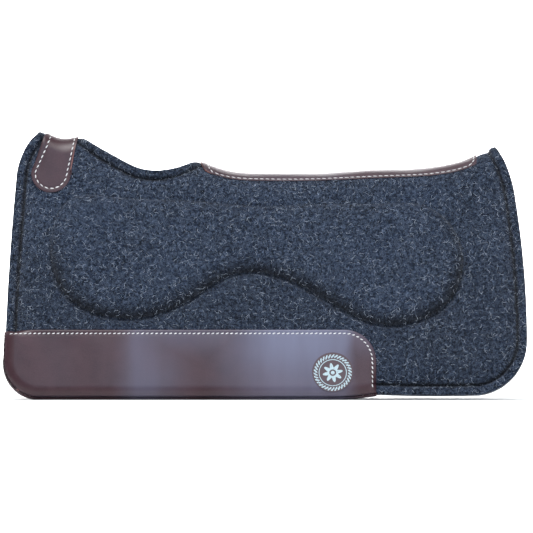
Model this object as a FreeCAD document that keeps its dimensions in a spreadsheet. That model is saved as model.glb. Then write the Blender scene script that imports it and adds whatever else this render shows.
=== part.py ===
"""Contoured felt saddle pad, standing on its lower edges like an inverted V.

Frame: +X towards the rear, near (left) side at -Y, +Z up, origin on the floor in the middle.
Each side is a flat flank, tilted from the vertical, that runs into a ridge arc whose radius changes
along the spine. "Depth" is measured inwards from the pad's outer face, square to it. The near side
is modelled, and the off side is its mirror image.
"""
import FreeCAD, Part
import Sketcher
import math
import os

V = FreeCAD.Vector

DIMENSIONS = {
    "pad_front": -394.0, "pad_rear": 394.0, "flank_tilt": 18.0, "apex_height": 460.7,
    "felt_thickness": 6.0, "core_thickness": 8.0, "bar_thickness": 8.0,
    "flange_width": 12.0, "core_inset": 26.0, "bar_cover": 6.0,
    "leather_thickness": 2.5, "leather_height": 104.0, "leather_rear": 166.0,
    "leather_corner": 48.0, "leather_hem": 35.0, "leather_flat_end": 100.0,
    "strap_thickness": 2.7, "strap_half_width": 30.0, "strap_centre": -325.0,
    "strap_ridge_front": -330.0, "strap_ridge_rear": -282.0, "strap_ridge_height": 398.0,
    "strap_round_height": 341.0,
    "spine_front": -93.0, "spine_rear": 318.0, "spine_half_width": 35.0,
    "lining_half_width": 25.0, "lining_thickness": 1.2,
    "soft_clearance": 0.3, "thread_width": 1.2, "thread_height": 0.6,
    "leather_stitch_inset": 5.7, "leather_stitch_front": -378.0, "leather_stitch_low": 12.0,
    "strap_stitch_inset": 6.0, "spine_stitch_inset": 4.0,
    "rim_stitch_inset": 9.6, "bar_stitch_offset": 2.6,
    "emblem_outer": 31.0, "emblem_inner": 24.0, "emblem_field": 21.0, "emblem_petal": 3.4,
    "emblem_petal_orbit": 11.0, "emblem_petals": 8, "emblem_thickness": 0.6, "emblem_relief": 0.3,
    "emblem_along": 100.5, "emblem_height": 40.0,
    "hinge_front_height": 390.0, "hinge_rear_height": 349.0,
    "close_half_angle": 12.0, "open_half_angle": 32.5, "hinge_gap": 0.5,
}

# Height of the spine line at places along it: front ear, dip under the strap, ear behind it,
# the fall over the wither opening, the seat, the loin and the rear ear.
SPINE_LINE = [
    (-410, 406), (-345, 406.5), (-308, 391), (-276, 395.5), (-190, 376), (-107, 359.5),
    (-62, 344), (-10, 339), (50, 338.5), (180, 344), (270, 350.5), (305, 360.5), (347, 382.5), (410, 385),
]
# Half angle that the wither opening takes out of the ridge arc, at places along it.
OPENING_ANGLES = [
    (-277, 0), (-262, 42), (-245, 61), (-215, 71), (-180, 69), (-150, 57), (-122, 32), (-107, 0),
]
# Raised bar panel on the flank, going round it from the front, through the waist below.
BAR_OUTLINE = [
    (-325, 215), (-306, 162), (-250, 127), (-190, 123), (-110, 153), (-55, 186), (-12, 191.5),
    (40, 177), (110, 138), (165, 114), (225, 117), (275, 146), (297, 200), (288, 248), (245, 289),
    (175, 294), (80, 293), (-10, 290), (-110, 298), (-230, 304), (-298, 299), (-321, 262),
]
STATION_SPACING = 15.0
STATION_END = 405.0
CAP_RUN = 4.0
STRAP_RUN = 90.0
ABOVE_RIDGE = 440.0
BELOW_FLOOR = -30.0
SIDE_REACH = 260.0
EAR_REACH = 420.0
EDGE_BASE = 5.8
FOLD_LOW = 200.0
FOLD_FAR = 10.0
THREAD_REACH_REAR = 300.0
THREAD_REACH_TOP = 200.0
LINING_INSET = 6.0

doc = FreeCAD.newDocument("saddle_pad")
sheet = doc.addObject("Spreadsheet::Sheet", "Dimensions")
for row, (alias, value) in enumerate(DIMENSIONS.items(), start=1):
    sheet.set(f"A{row}", alias)
    sheet.set(f"B{row}", str(value))
    sheet.setAlias(f"B{row}", alias)
doc.recompute()


def dim(alias):
    """Value of one driving dimension."""
    return float(getattr(sheet, alias))


TILT = math.radians(dim("flank_tilt"))
SHOULDER = math.pi / 2 - TILT
FLANK_NORMAL = V(0, -math.cos(TILT), math.sin(TILT))
CORE_DEPTH = dim("felt_thickness") + dim("core_thickness")
PAD_DEPTH = CORE_DEPTH + dim("felt_thickness")


# ---------------------------------------------------------------- the ridge
def curve_through(points):
    """Smooth curve in the side view through (along, height) points."""
    curve = Part.BSplineCurve()
    curve.interpolate([V(x, 0, z) for x, z in points])
    return curve


def height_on(curve, x):
    """Second coordinate of a left-to-right curve at x."""
    low, high = curve.FirstParameter, curve.LastParameter
    for _ in range(40):
        middle = (low + high) / 2
        if curve.value(middle).x < x:
            low = middle
        else:
            high = middle
    return curve.value(low).z


SPINE_CURVE = curve_through(SPINE_LINE)
OPENING_CURVE = curve_through(OPENING_ANGLES)


def stations(start, end):
    """Both ends of a run along the spine, and the places between them where sections are drawn."""
    count = round(2 * STATION_END / STATION_SPACING)
    places = [i * STATION_SPACING - STATION_END for i in range(count + 1)]
    return [start, *[x for x in places if start < x < end], end]


def spine_height(x):
    """Height of the spine line at x. It runs straight from one section to the next."""
    cell = math.floor((x + STATION_END) / STATION_SPACING)
    low = cell * STATION_SPACING - STATION_END
    share = (x - low) / STATION_SPACING
    ends = [height_on(SPINE_CURVE, place) for place in (low, low + STATION_SPACING)]
    return (1 - share) * ends[0] + share * ends[1]


def ridge_circle(x):
    """Centre height and radius of the outer ridge arc at x, tangent to both flanks."""
    radius = (dim("apex_height") - spine_height(x)) / (1 / math.sin(TILT) - 1)
    return dim("apex_height") - radius / math.sin(TILT), radius


def ridge_point(x, depth, angle):
    """Point on the near side of the ridge arc, at an angle from its top."""
    centre, radius = ridge_circle(x)
    return V(x, -(radius - depth) * math.sin(angle), centre + (radius - depth) * math.cos(angle))


def start_angle(x):
    """Angle on the ridge arc where the near felt begins: its top, or the wither opening's edge."""
    in_opening = OPENING_ANGLES[0][0] < x < OPENING_ANGLES[-1][0]
    return math.radians(max(0.0, height_on(OPENING_CURVE, x))) if in_opening else 0.0


def fold_space():
    """Wedges kept clear of the near felt on both sides of the hinge axis, so that the sides can fold:
    felt below the axis closes in, and felt above it does when the sides open out."""
    span = dim("pad_rear") - dim("pad_front")
    fall = (dim("hinge_rear_height") - dim("hinge_front_height")) / span
    wires = []
    for x in (-EAR_REACH, EAR_REACH):
        axis = dim("hinge_front_height") + (x - dim("pad_front")) * fall
        above = (ABOVE_RIDGE - axis) * math.tan(math.radians(dim("open_half_angle")))
        below = (axis - FOLD_LOW) * math.tan(math.radians(dim("close_half_angle")))
        gap = dim("hinge_gap")
        wires.append(Part.makePolygon([
            V(x, -gap, axis), V(x, -gap - above, ABOVE_RIDGE), V(x, FOLD_FAR, ABOVE_RIDGE),
            V(x, FOLD_FAR, FOLD_LOW), V(x, -gap - below, FOLD_LOW), V(x, -gap, axis)]))
    return Part.makeLoft(wires, True, True)


def ridge_section(x, outer, inner, run):
    """Section of a near-side layer: ridge arc and a short run down the flank."""
    drop = V(0, -run * math.sin(TILT), -run * math.cos(TILT))
    corners = [ridge_point(x, depth, SHOULDER) for depth in (outer, inner)]
    ends = [corner + drop for corner in corners]
    start = start_angle(x)
    arcs = []
    for depth, corner in zip((outer, inner), corners):
        middle = ridge_point(x, depth, (start + SHOULDER) / 2)
        arcs.append(Part.Arc(ridge_point(x, depth, start), middle, corner).toShape())
    lines = [Part.makeLine(corners[0], ends[0]), Part.makeLine(ends[0], ends[1]),
             Part.makeLine(ends[1], corners[1]),
             Part.makeLine(ridge_point(x, inner, start), ridge_point(x, outer, start))]
    return Part.Wire(Part.__sortEdges__(arcs + lines))


def ridge_cap(outer, inner):
    """Near half of a felt layer over the ridge, longer than the pad at both ends."""
    sections = [ridge_section(x, outer, inner, CAP_RUN) for x in stations(-STATION_END, STATION_END)]
    return Part.makeLoft(sections, True, True)


def ridge_strip(places, outer, inner, half_angle, centre_angle=None):
    """Strip along the ridge: over the top, or, about a centre angle, on the near side only."""
    sections = []
    for x in places:
        half = half_angle(x)
        middle = centre_angle(x) if centre_angle else 0.0
        edges = []
        for depth in (outer, inner):
            points = [ridge_point(x, depth, middle + share * half) for share in (-1, 0, 1)]
            edges.append(Part.Arc(*points).toShape())
        for side in (0, -1):
            edges.append(Part.makeLine(edges[0].Vertexes[side].Point, edges[1].Vertexes[side].Point))
        sections.append(Part.Wire(Part.__sortEdges__(edges)))
    return Part.makeLoft(sections, True, True)


def on_arc(width, depth):
    """Angle, at any x, that a width along the ridge arc takes up."""
    return lambda x: width / (ridge_circle(x)[1] - depth)


# ---------------------------------------------------------------- outlines on the flank
def on_flank(place):
    """Side-view point moved straight across onto the near flank's outer plane."""
    return V(place[0], -(dim("apex_height") - place[1]) * math.tan(TILT), place[1])


def arc_edge(*places):
    """Arc through three side-view points, on the flank."""
    return Part.Arc(*[on_flank(place) for place in places]).toShape()


def polyline_edges(*places):
    """Straight edges through side-view points, on the flank."""
    points = [on_flank(place) for place in places]
    return [Part.makeLine(a, b) for a, b in zip(points, points[1:])]


def flat_face(edges):
    """Face inside a closed run of edges."""
    return Part.Face(Part.Wire(Part.__sortEdges__(edges)))


def pad_outline():
    """Front edge, rounded lower corners and rear edge, open above the ridge."""
    front, rear, end = dim("pad_front"), dim("pad_rear"), dim("leather_rear")
    flat_end, base = dim("leather_flat_end"), EDGE_BASE
    return flat_face([
        *polyline_edges((-368, ABOVE_RIDGE), (-377, 345)),
        arc_edge((-377, 345), (-388, 201), (front, 66)),
        arc_edge((front, 66), (-381, 23), (-338, base)),
        *polyline_edges((-338, base), (flat_end, base)),
        arc_edge((flat_end, base), ((flat_end + end) / 2, base + 1.5), (end, base + 6)),
        arc_edge((end, base + 6), (247, 10.0), (322, 10.8)),
        arc_edge((322, 10.8), (374, 39), (rear, 97)),
        arc_edge((rear, 97), (389, 209), (377.6, 303)),
        *polyline_edges((377.6, 303), (366, ABOVE_RIDGE), (-368, ABOVE_RIDGE)),
    ])


def slab_limit():
    """Everything on the flank below the ridge caps' lower edges."""
    tops = []
    for x in stations(-STATION_END, STATION_END):
        tops.append((x, ridge_point(x, 0, SHOULDER).z - CAP_RUN * math.cos(TILT)))
    corners = [(STATION_END, BELOW_FLOOR), (-STATION_END, BELOW_FLOOR)]
    return flat_face(polyline_edges(*tops, *corners, tops[0]))


def core_limit():
    """Flat middle of the flank, below the spine channel."""
    left, right = (-STATION_END, 340), (STATION_END, 315)
    return flat_face([arc_edge(left, (0, 291), right), *polyline_edges(
        right, (STATION_END, BELOW_FLOOR), (-STATION_END, BELOW_FLOOR), left)])


def leather_outline(inset=0.0):
    """Wear leather: open below and in front, with one rounded corner behind."""
    left, low = -STATION_END, BELOW_FLOOR
    right, top = dim("leather_rear") - inset, dim("leather_height") - inset
    corner = dim("leather_corner") - inset
    middle = corner * (1 - math.sqrt(0.5))
    return flat_face([
        *polyline_edges((left, top), (left, low), (right, low), (right, top - corner)),
        arc_edge((right, top - corner), (right - middle, top - middle), (right - corner, top)),
        *polyline_edges((right - corner, top), (left, top)),
    ])


def bar_outline():
    """Raised bar panel."""
    curve = Part.BSplineCurve()
    curve.interpolate([on_flank(place) for place in BAR_OUTLINE], PeriodicFlag=True)
    return Part.Face(Part.Wire([curve.toShape()]))


def grown_bar(distance):
    """Bar panel outline moved outwards, or inwards where the distance is negative."""
    moved = bar_outline().makeOffset2D(distance)
    return flat_face(moved.OuterWire.toNurbs().Edges)


def side_prism(edges, near_reach, off_reach):
    """Side-view outline made into a solid across the pad."""
    face = Part.Face(Part.Wire(Part.__sortEdges__(edges)))
    face.translate(V(0, off_reach, 0))
    return face.extrude(V(0, -near_reach - off_reach, 0))


def side_line(*places):
    """Straight edges through side-view points, in the middle plane."""
    points = [V(x, 0, z) for x, z in places]
    return [Part.makeLine(a, b) for a, b in zip(points, points[1:])]


def side_arc(*places):
    """Arc through three side-view points, in the middle plane."""
    return Part.Arc(*[V(x, 0, z) for x, z in places]).toShape()


def ear_shape():
    """Solid that rounds the front and rear ears where the edges meet the ridge."""
    far = EAR_REACH
    return side_prism([
        *side_line((-320, ABOVE_RIDGE), (-344, 405.5)), side_arc((-344, 405.5), (-364, 381), (-377, 345)),
        *side_line((-377, 345), (-far, 345), (-far, BELOW_FLOOR)),
        *side_line((-far, BELOW_FLOOR), (far, BELOW_FLOOR), (far, 303), (377.6, 303)),
        side_arc((377.6, 303), (367, 347), (348, 384)), *side_line((348, 384), (330, ABOVE_RIDGE)),
        *side_line((330, ABOVE_RIDGE), (-320, ABOVE_RIDGE)),
    ], SIDE_REACH, 10)


# ---------------------------------------------------------------- document helpers
def feature(name, shape):
    """Document object that holds a computed shape."""
    item = doc.addObject("Part::Feature", name)
    item.Shape = shape
    return item


def slab(name, face, outer, inner):
    """Flat layer between two depths, each an expression of the sheet."""
    item = doc.addObject("Part::Extrusion", name)
    item.Base = feature(f"{name}_outline", face)
    item.DirMode, item.Dir, item.Solid = "Custom", FLANK_NORMAL, True
    item.setExpression("LengthFwd", f"-({outer})")
    item.setExpression("LengthRev", inner)
    return item


def cut(name, base, tool):
    """Document boolean: base without tool."""
    item = doc.addObject("Part::Cut", name)
    item.Base, item.Tool = base, tool
    return item


def common(name, first, second):
    """Document boolean: what two objects share."""
    item = doc.addObject("Part::MultiCommon", name)
    item.Shapes = [first, second]
    return item


def fuse(name, *items):
    """Document boolean: the objects joined."""
    item = doc.addObject("Part::MultiFuse", name)
    item.Shapes, item.Refine = list(items), True
    return item


NODES = {}


def near_and_off(name, near):
    """Registers a near-side sub-part and its mirror image on the off side."""
    near.Label = f"near_{name}"
    off = doc.addObject("Part::Mirroring", f"off_{name}_mirror")
    off.Source, off.Normal, off.Base = near, V(0, 1, 0), V(0, 0, 0)
    off.Label = f"off_{name}"
    NODES[near.Label], NODES[off.Label] = near, off


def whole(name, item):
    """Registers a sub-part that crosses the spine."""
    item.Label = name
    NODES[name] = item


# Depths as expressions of the sheet.
OUTER = "0"
COVER = "Dimensions.felt_thickness"
CORE_FLOOR = "Dimensions.felt_thickness + Dimensions.core_thickness"
FLANGE = "Dimensions.core_thickness"
INNER = "2 * Dimensions.felt_thickness + Dimensions.core_thickness"
PANEL = "-Dimensions.bar_thickness"
BAR_TOP = "Dimensions.felt_thickness - Dimensions.bar_thickness"
LEATHER_FACE = "-Dimensions.leather_thickness"
HEM_FACE = f"{INNER} + Dimensions.leather_thickness"

outline = pad_outline()
below_ridge = slab_limit()
leather_zone = leather_outline().common(outline)


def shrunk(distance):
    """Pad outline moved inwards."""
    return outline.makeOffset2D(-distance)


# ---------------------------------------------------------------- sub-parts of each side
def wear_leather():
    """Leather round the lower and front edges: outer sheet, edge turn and a hem inside, with its
    lowest corner trimmed to a narrow flat that the pad stands on."""
    sheet_part = slab("leather_sheet", leather_zone, LEATHER_FACE, OUTER)
    turn = leather_zone.cut(shrunk(dim("leather_thickness")))
    hem = leather_zone.cut(shrunk(dim("leather_hem")))
    turn_part = slab("leather_edge_turn", turn, LEATHER_FACE, HEM_FACE)
    hem_part = slab("leather_hem_band", hem, INNER, HEM_FACE)
    above_floor = doc.addObject("Part::Box", "above_floor")
    above_floor.Length, above_floor.Width, above_floor.Height = 2 * EAR_REACH, SIDE_REACH, ABOVE_RIDGE
    above_floor.Placement.Base = V(-EAR_REACH, -SIDE_REACH, 0)
    wrap = fuse("leather_wrap", sheet_part, turn_part, hem_part)
    return wrap, common("wear_leather", wrap, above_floor)


def core_foam():
    """Foam core between the two felts."""
    return slab("core_foam", shrunk(dim("core_inset")).common(core_limit()), COVER, CORE_FLOOR)


def bar_pad():
    """Second foam layer under the raised bar panel."""
    return slab("bar_pad", grown_bar(-dim("bar_cover")), BAR_TOP, COVER)


def felt(name, flat_part, cap, leather):
    """Flat part and ridge cap of a felt in one piece, with rounded ears, cut for the edge turn."""
    joined = fuse(f"{name}_joined", flat_part, feature(f"{name}_cap", cap))
    shaped = common(f"{name}_shaped", joined, ears)
    return cut(name, cut(f"{name}_free_to_fold", shaped, fold_gap), leather)


def top_felt(leather, core, bar):
    """Outer felt: thin flange round the edge, raised over the core, raised again over the bar."""
    flange = slab("flange", outline.common(below_ridge), FLANGE, CORE_FLOOR)
    middle = slab("raised_middle", shrunk(dim("flange_width")).common(below_ridge), OUTER, CORE_FLOOR)
    lower = slab("raised_under_leather", leather_zone, OUTER, CORE_FLOOR)
    panel = slab("bar_panel", bar_outline(), PANEL, OUTER)
    solid = fuse("top_felt_flat", flange, middle, lower, panel)
    hollow = cut("top_felt_hollow", cut("top_felt_over_core", solid, core), bar)
    return felt("top_felt", hollow, ridge_cap(0, CORE_DEPTH), leather)


def bottom_felt(leather):
    """Felt on the horse's side."""
    flat_part = slab("bottom_felt_flat", outline.common(below_ridge), CORE_FLOOR, INNER)
    return felt("bottom_felt", flat_part, ridge_cap(CORE_DEPTH, PAD_DEPTH), leather)


def seam(name, face, surface):
    """Thread of a seam on the flank: a thin strip that stands proud of a surface."""
    return slab(name, face, f"{surface} - Dimensions.thread_height", surface)


def wear_leather_thread():
    """Seam along the leather's upper edge and down its rounded rear end."""
    inset, width = dim("leather_stitch_inset"), dim("thread_width")
    front, low = dim("leather_stitch_front"), dim("leather_stitch_low")
    rear, top = THREAD_REACH_REAR, THREAD_REACH_TOP
    reach = flat_face(polyline_edges((front, low), (rear, low), (rear, top), (front, top), (front, low)))
    ring = leather_outline(inset).cut(leather_outline(inset + width))
    return seam("wear_leather_seam", ring.common(reach), LEATHER_FACE)


def perimeter_thread():
    """Seam in the groove beside the flange, outside the wear leather."""
    inset, width = dim("rim_stitch_inset"), dim("thread_width")
    ring = shrunk(inset).cut(shrunk(inset + width))
    return seam("perimeter_seam", ring.cut(leather_outline(-3.0)).common(core_limit()), FLANGE)


def bar_pad_thread():
    """Seam round the raised bar panel."""
    offset, width = dim("bar_stitch_offset"), dim("thread_width")
    ring = grown_bar(offset).cut(grown_bar(offset - width))
    return seam("bar_pad_seam", ring, OUTER)


def badge_sketch(body, name, circles, level):
    """Sketch of circles, each (centre alias or none, radius alias), bound to the sheet."""
    sketch = body.newObject("Sketcher::SketchObject", name)
    plane = next(item for item in body.Origin.OriginFeatures if item.Role == "XY_Plane")
    sketch.AttachmentSupport, sketch.MapMode = [(plane, "")], "FlatFace"
    sketch.setExpression("AttachmentOffset.Base.z", level)
    for number, (orbit, radius) in enumerate(circles):
        across = dim(orbit) if orbit else 0.0
        sketch.addGeometry(Part.Circle(V(across, 0, 0), V(0, 0, 1), dim(radius)))
        size = sketch.addConstraint(Sketcher.Constraint("Radius", number, dim(radius)))
        sketch.setExpression(f"Constraints[{size}]", f"Dimensions.{radius}")
        if orbit:
            sketch.addConstraint(Sketcher.Constraint("PointOnObject", number, 3, -1))
            reach = sketch.addConstraint(Sketcher.Constraint("DistanceX", -1, 1, number, 3, across))
            sketch.setExpression(f"Constraints[{reach}]", f"Dimensions.{orbit}")
        else:
            sketch.addConstraint(Sketcher.Constraint("Coincident", number, 3, -1, 1))
    return sketch


def emblem():
    """Plain round badge on the wear leather: rim, sunk ring and a small rosette of dots."""
    body = doc.addObject("PartDesign::Body", "emblem")
    disc = body.newObject("PartDesign::Pad", "disc")
    disc.Profile = badge_sketch(body, "disc_outline", [(None, "emblem_outer")], "0")
    disc.setExpression("Length", "Dimensions.emblem_thickness")
    doc.recompute()
    face = "Dimensions.emblem_thickness"
    rings = [(None, "emblem_inner"), (None, "emblem_field")]
    for name, circles in (("sunk_ring", rings), ("dot", [("emblem_petal_orbit", "emblem_petal")])):
        pocket = body.newObject("PartDesign::Pocket", name)
        pocket.Profile = badge_sketch(body, f"{name}_outline", circles, face)
        pocket.setExpression("Length", "Dimensions.emblem_relief")
        doc.recompute()
    dots = body.newObject("PartDesign::PolarPattern", "dots")
    dots.Originals, dots.Angle = [pocket], 360
    dots.Axis = (next(item for item in body.Origin.OriginFeatures if item.Role == "Z_Axis"), [""])
    dots.setExpression("Occurrences", "Dimensions.emblem_petals")
    body.Tip = dots
    place = on_flank((dim("emblem_along"), dim("emblem_height"))) + FLANK_NORMAL * dim("leather_thickness")
    body.Placement = FreeCAD.Placement(place, FreeCAD.Rotation(V(1, 0, 0), 90 - dim("flank_tilt")))
    return body


# ---------------------------------------------------------------- sub-parts across the spine
def strap_space(inset=0.0):
    """Side-view solid of the wither strap: a little wider below, with a round end."""
    half, centre = dim("strap_half_width") - inset, dim("strap_centre")
    front, rear = dim("strap_ridge_front") + inset, dim("strap_ridge_rear") - inset
    level, ridge = dim("strap_round_height"), dim("strap_ridge_height")
    return side_prism([
        *side_line((front, ABOVE_RIDGE), (front, ridge), (centre - half, level)),
        side_arc((centre - half, level), (centre, level - half), (centre + half, level)),
        *side_line((centre + half, level), (rear, ridge), (rear, ABOVE_RIDGE), (front, ABOVE_RIDGE)),
    ], SIDE_REACH, SIDE_REACH)


def draped_layer(start, end, outer, inner, run):
    """Layer over the whole ridge with a straight run down both flanks."""
    drop = V(0, -run * math.sin(TILT), -run * math.cos(TILT))
    sections = []
    for x in stations(start, end):
        rims = []
        for depth in (outer, inner):
            near = ridge_point(x, depth, SHOULDER)
            top, low = ridge_point(x, depth, 0), near + drop
            off, off_low = V(x, -near.y, near.z), V(x, -low.y, low.z)
            rims.append([Part.makeLine(low, near), Part.Arc(near, top, off).toShape(),
                         Part.makeLine(off, off_low), low, off_low])
        ends = [Part.makeLine(rims[0][k], rims[1][k]) for k in (3, 4)]
        sections.append(Part.Wire(Part.__sortEdges__(rims[0][:3] + rims[1][:3] + ends)))
    return Part.makeLoft(sections, True, True)


def strap_layer(outer, inner):
    """Layer that the wither strap and its seam are cut from."""
    front = dim("strap_centre") - dim("strap_half_width") - CAP_RUN
    return draped_layer(front, dim("strap_ridge_rear") + CAP_RUN, outer, inner, STRAP_RUN)


def wither_strap():
    """Leather tab folded over the front of the spine."""
    clear = -dim("soft_clearance")
    return feature("wither_strap", strap_layer(clear - dim("strap_thickness"), clear).common(strap_space()))


def wither_strap_thread():
    """Seam inside the strap's edge, down both of its ends."""
    inset, surface = dim("strap_stitch_inset"), -dim("soft_clearance") - dim("strap_thickness")
    ring = strap_space(inset).cut(strap_space(inset + dim("thread_width")))
    return feature("wither_strap_seam", strap_layer(surface - dim("thread_height"), surface).common(ring))


def spine_leather():
    """Long leather cover along the ridge."""
    clear = -dim("soft_clearance")
    places = stations(dim("spine_front"), dim("spine_rear"))
    outer = clear - dim("leather_thickness")
    return feature("spine_leather", ridge_strip(places, outer, clear, on_arc(dim("spine_half_width"), 0)))


def spine_leather_thread():
    """Seam inside the spine leather's edge, along both sides and across both ends."""
    surface = -dim("soft_clearance") - dim("leather_thickness")
    outer, width, inset = surface - dim("thread_height"), dim("thread_width"), dim("spine_stitch_inset")
    front, rear = dim("spine_front") + inset, dim("spine_rear") - inset
    reach = dim("spine_half_width") - inset
    side = ridge_strip(stations(front, rear), outer, surface, on_arc(width / 2, 0), on_arc(reach, 0))
    row_angle = on_arc(reach + width / 2, 0)
    rows = [ridge_strip([x, x + width], outer, surface, row_angle) for x in (front, rear - width)]
    other = side.mirror(V(0, 0, 0), V(0, 1, 0))
    return feature("spine_leather_seam", side.fuse([other, *rows]))


def spine_lining():
    """Tape over the spine seam on the horse's side."""
    outer = PAD_DEPTH + dim("soft_clearance")
    places = stations(dim("spine_front") + LINING_INSET, dim("spine_rear") - LINING_INSET)
    return feature("spine_lining", ridge_strip(places, outer, outer + dim("lining_thickness"),
                                               on_arc(dim("lining_half_width"), outer)))


# ---------------------------------------------------------------- build
ears = feature("ear_rounding", ear_shape())
fold_gap = feature("fold_gap", fold_space())
leather_wrap, leather_part = wear_leather()
core_part, bar_part = core_foam(), bar_pad()
near_and_off("top_felt", top_felt(leather_wrap, core_part, bar_part))
near_and_off("bottom_felt", bottom_felt(leather_wrap))
near_and_off("core_foam", core_part)
near_and_off("bar_pad", bar_part)
near_and_off("wear_leather", leather_part)
near_and_off("wear_leather_thread", wear_leather_thread())
near_and_off("perimeter_thread", perimeter_thread())
near_and_off("bar_pad_thread", bar_pad_thread())
near_and_off("emblem", emblem())
whole("wither_strap", wither_strap())
whole("wither_strap_thread", wither_strap_thread())
whole("spine_leather", spine_leather())
whole("spine_leather_thread", spine_leather_thread())
whole("spine_lining", spine_lining())
doc.recompute()

for item in doc.Objects:
    if "Invalid" in item.State or "Error" in item.State:
        raise RuntimeError(f"{item.Label} did not compute: {item.State}")
for name, item in NODES.items():
    if item.Shape.isNull() or not item.Shape.isValid():
        raise RuntimeError(f"{name} has no valid shape")

os.makedirs("parts", exist_ok=True)
for name, item in NODES.items():
    item.Shape.exportStep(f"parts/{name}.step")
    box = item.Shape.optimalBoundingBox()
    print(f"{name:22s} solids {len(item.Shape.Solids)} volume {item.Shape.Volume / 1000:9.2f} cm3 "
          f"x {box.XMin:8.2f} {box.XMax:8.2f} y {box.YMin:8.2f} {box.YMax:8.2f} z {box.ZMin:8.2f} {box.ZMax:8.2f}")
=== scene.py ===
"""Looks of the contoured felt saddle pad, on top of its frame.

The pad stands on its lower edges like an inverted V. +X is towards the rear, the near side is at -Y and
+Z is up. Each side is worked out on its own cloth, laid flat: "along" is the place along the spine and
"drop" is the distance down the side, measured over the ridge arc and then down the flank. "Depth" is
measured inwards from the pad's outer face, square to it. All lengths are in metres.
"""

import logging
import math
from collections.abc import Callable
from dataclasses import dataclass, field
from enum import Enum
from functools import cached_property

import bpy
import numpy as np
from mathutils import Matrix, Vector, kdtree
from mathutils.geometry import delaunay_2d_cdt

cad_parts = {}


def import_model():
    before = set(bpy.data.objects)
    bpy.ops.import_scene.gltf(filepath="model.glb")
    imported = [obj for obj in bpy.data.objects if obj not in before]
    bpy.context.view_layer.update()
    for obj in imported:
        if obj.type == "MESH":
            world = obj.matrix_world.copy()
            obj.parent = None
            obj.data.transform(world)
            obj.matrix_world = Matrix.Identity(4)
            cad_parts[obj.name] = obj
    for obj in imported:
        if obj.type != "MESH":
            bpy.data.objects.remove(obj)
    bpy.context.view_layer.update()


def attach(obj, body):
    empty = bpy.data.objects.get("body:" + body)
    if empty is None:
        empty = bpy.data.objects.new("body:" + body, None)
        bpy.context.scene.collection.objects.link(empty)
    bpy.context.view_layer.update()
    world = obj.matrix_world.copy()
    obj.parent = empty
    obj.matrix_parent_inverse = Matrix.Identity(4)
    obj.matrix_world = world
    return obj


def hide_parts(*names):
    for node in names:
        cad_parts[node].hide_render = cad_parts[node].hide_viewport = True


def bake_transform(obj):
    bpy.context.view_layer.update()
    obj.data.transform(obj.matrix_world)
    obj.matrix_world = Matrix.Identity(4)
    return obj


log = logging.getLogger("saddle_pad")
Points = list[tuple[float, float]]
Profile = Callable[[np.ndarray], np.ndarray]

NEAR_BODY, OFF_BODY = "near_side", "off_side"
CLOTH_MAP = "cloth"
# Name of the mesh attribute that holds the felt's painted shade.
SHADE_ATTRIBUTE = "painted_shade"
WALL_ROWS = 4


class Side(Enum):
    """The pad's two sides, as the sign of Y."""

    NEAR = -1
    OFF = 1

    @property
    def label(self) -> str:
        """Start of the side's node and piece names."""
        return "near" if self is Side.NEAR else "off"

    @property
    def body(self) -> str:
        """Body that the side's pieces move with."""
        return NEAR_BODY if self is Side.NEAR else OFF_BODY


# ---------------------------------------------------------------- small maths
def spline_through(points: Points, closed: bool = False, density: int = 14) -> np.ndarray:
    """Smooth curve through points, spaced by the lengths between them.

    Args:
        points: places that the curve passes through.
        closed: whether the curve comes back to its first point.
        density: places made on each span.

    Returns:
        The curve as a dense run of places.
    """
    knots = np.array(points, float)
    if closed:
        knots = np.vstack([knots, knots[:1]])
    steps = np.linalg.norm(np.diff(knots, axis=0), axis=1)
    slopes = np.diff(knots, axis=0) / steps[:, None]
    count = len(knots)
    system, right = np.zeros((count, count)), np.zeros((count, 2))
    for i in range(1, count - 1):
        system[i, i - 1:i + 2] = steps[i - 1], 2 * (steps[i - 1] + steps[i]), steps[i]
        right[i] = 6 * (slopes[i] - slopes[i - 1])
    if closed:
        system[0, 0], system[0, 1], system[0, -2] = 2 * (steps[-1] + steps[0]), steps[0], steps[-1]
        right[0] = 6 * (slopes[0] - slopes[-1])
        system[-1, 0], system[-1, -1] = 1, -1
    else:
        system[0, 0] = system[-1, -1] = 1
    bend = np.linalg.solve(system, right)
    spans = []
    for i, step in enumerate(steps):
        b = np.linspace(0, 1, density, endpoint=False)[:, None]
        a = 1 - b
        cubic = ((a**3 - a) * bend[i] + (b**3 - b) * bend[i + 1]) * step * step / 6
        spans.append(a * knots[i] + b * knots[i + 1] + cubic)
    return np.vstack(spans if closed else [*spans, knots[-1:]])


def arc_through(start: tuple, middle: tuple, end: tuple, count: int = 16) -> np.ndarray:
    """Circular arc through three places.

    Args:
        start: first place.
        middle: place on the arc.
        end: last place.
        count: spans along the arc.

    Returns:
        Places along the arc, both ends among them.
    """
    (ax, ay), (bx, by), (cx, cy) = start, middle, end
    scale = 2 * (ax * (by - cy) + bx * (cy - ay) + cx * (ay - by))
    squares = [x * x + y * y for x, y in (start, middle, end)]
    ux = (squares[0] * (by - cy) + squares[1] * (cy - ay) + squares[2] * (ay - by)) / scale
    uy = (squares[0] * (cx - bx) + squares[1] * (ax - cx) + squares[2] * (bx - ax)) / scale
    first, mid, last = (math.atan2(y - uy, x - ux) for x, y in (start, middle, end))
    turn = (last - first) % (2 * math.pi)
    if (mid - first) % (2 * math.pi) > turn:
        turn -= 2 * math.pi
    angles = first + turn * np.linspace(0, 1, count + 1)
    radius = math.hypot(ax - ux, ay - uy)
    return np.column_stack([ux + radius * np.cos(angles), uy + radius * np.sin(angles)])


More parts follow.
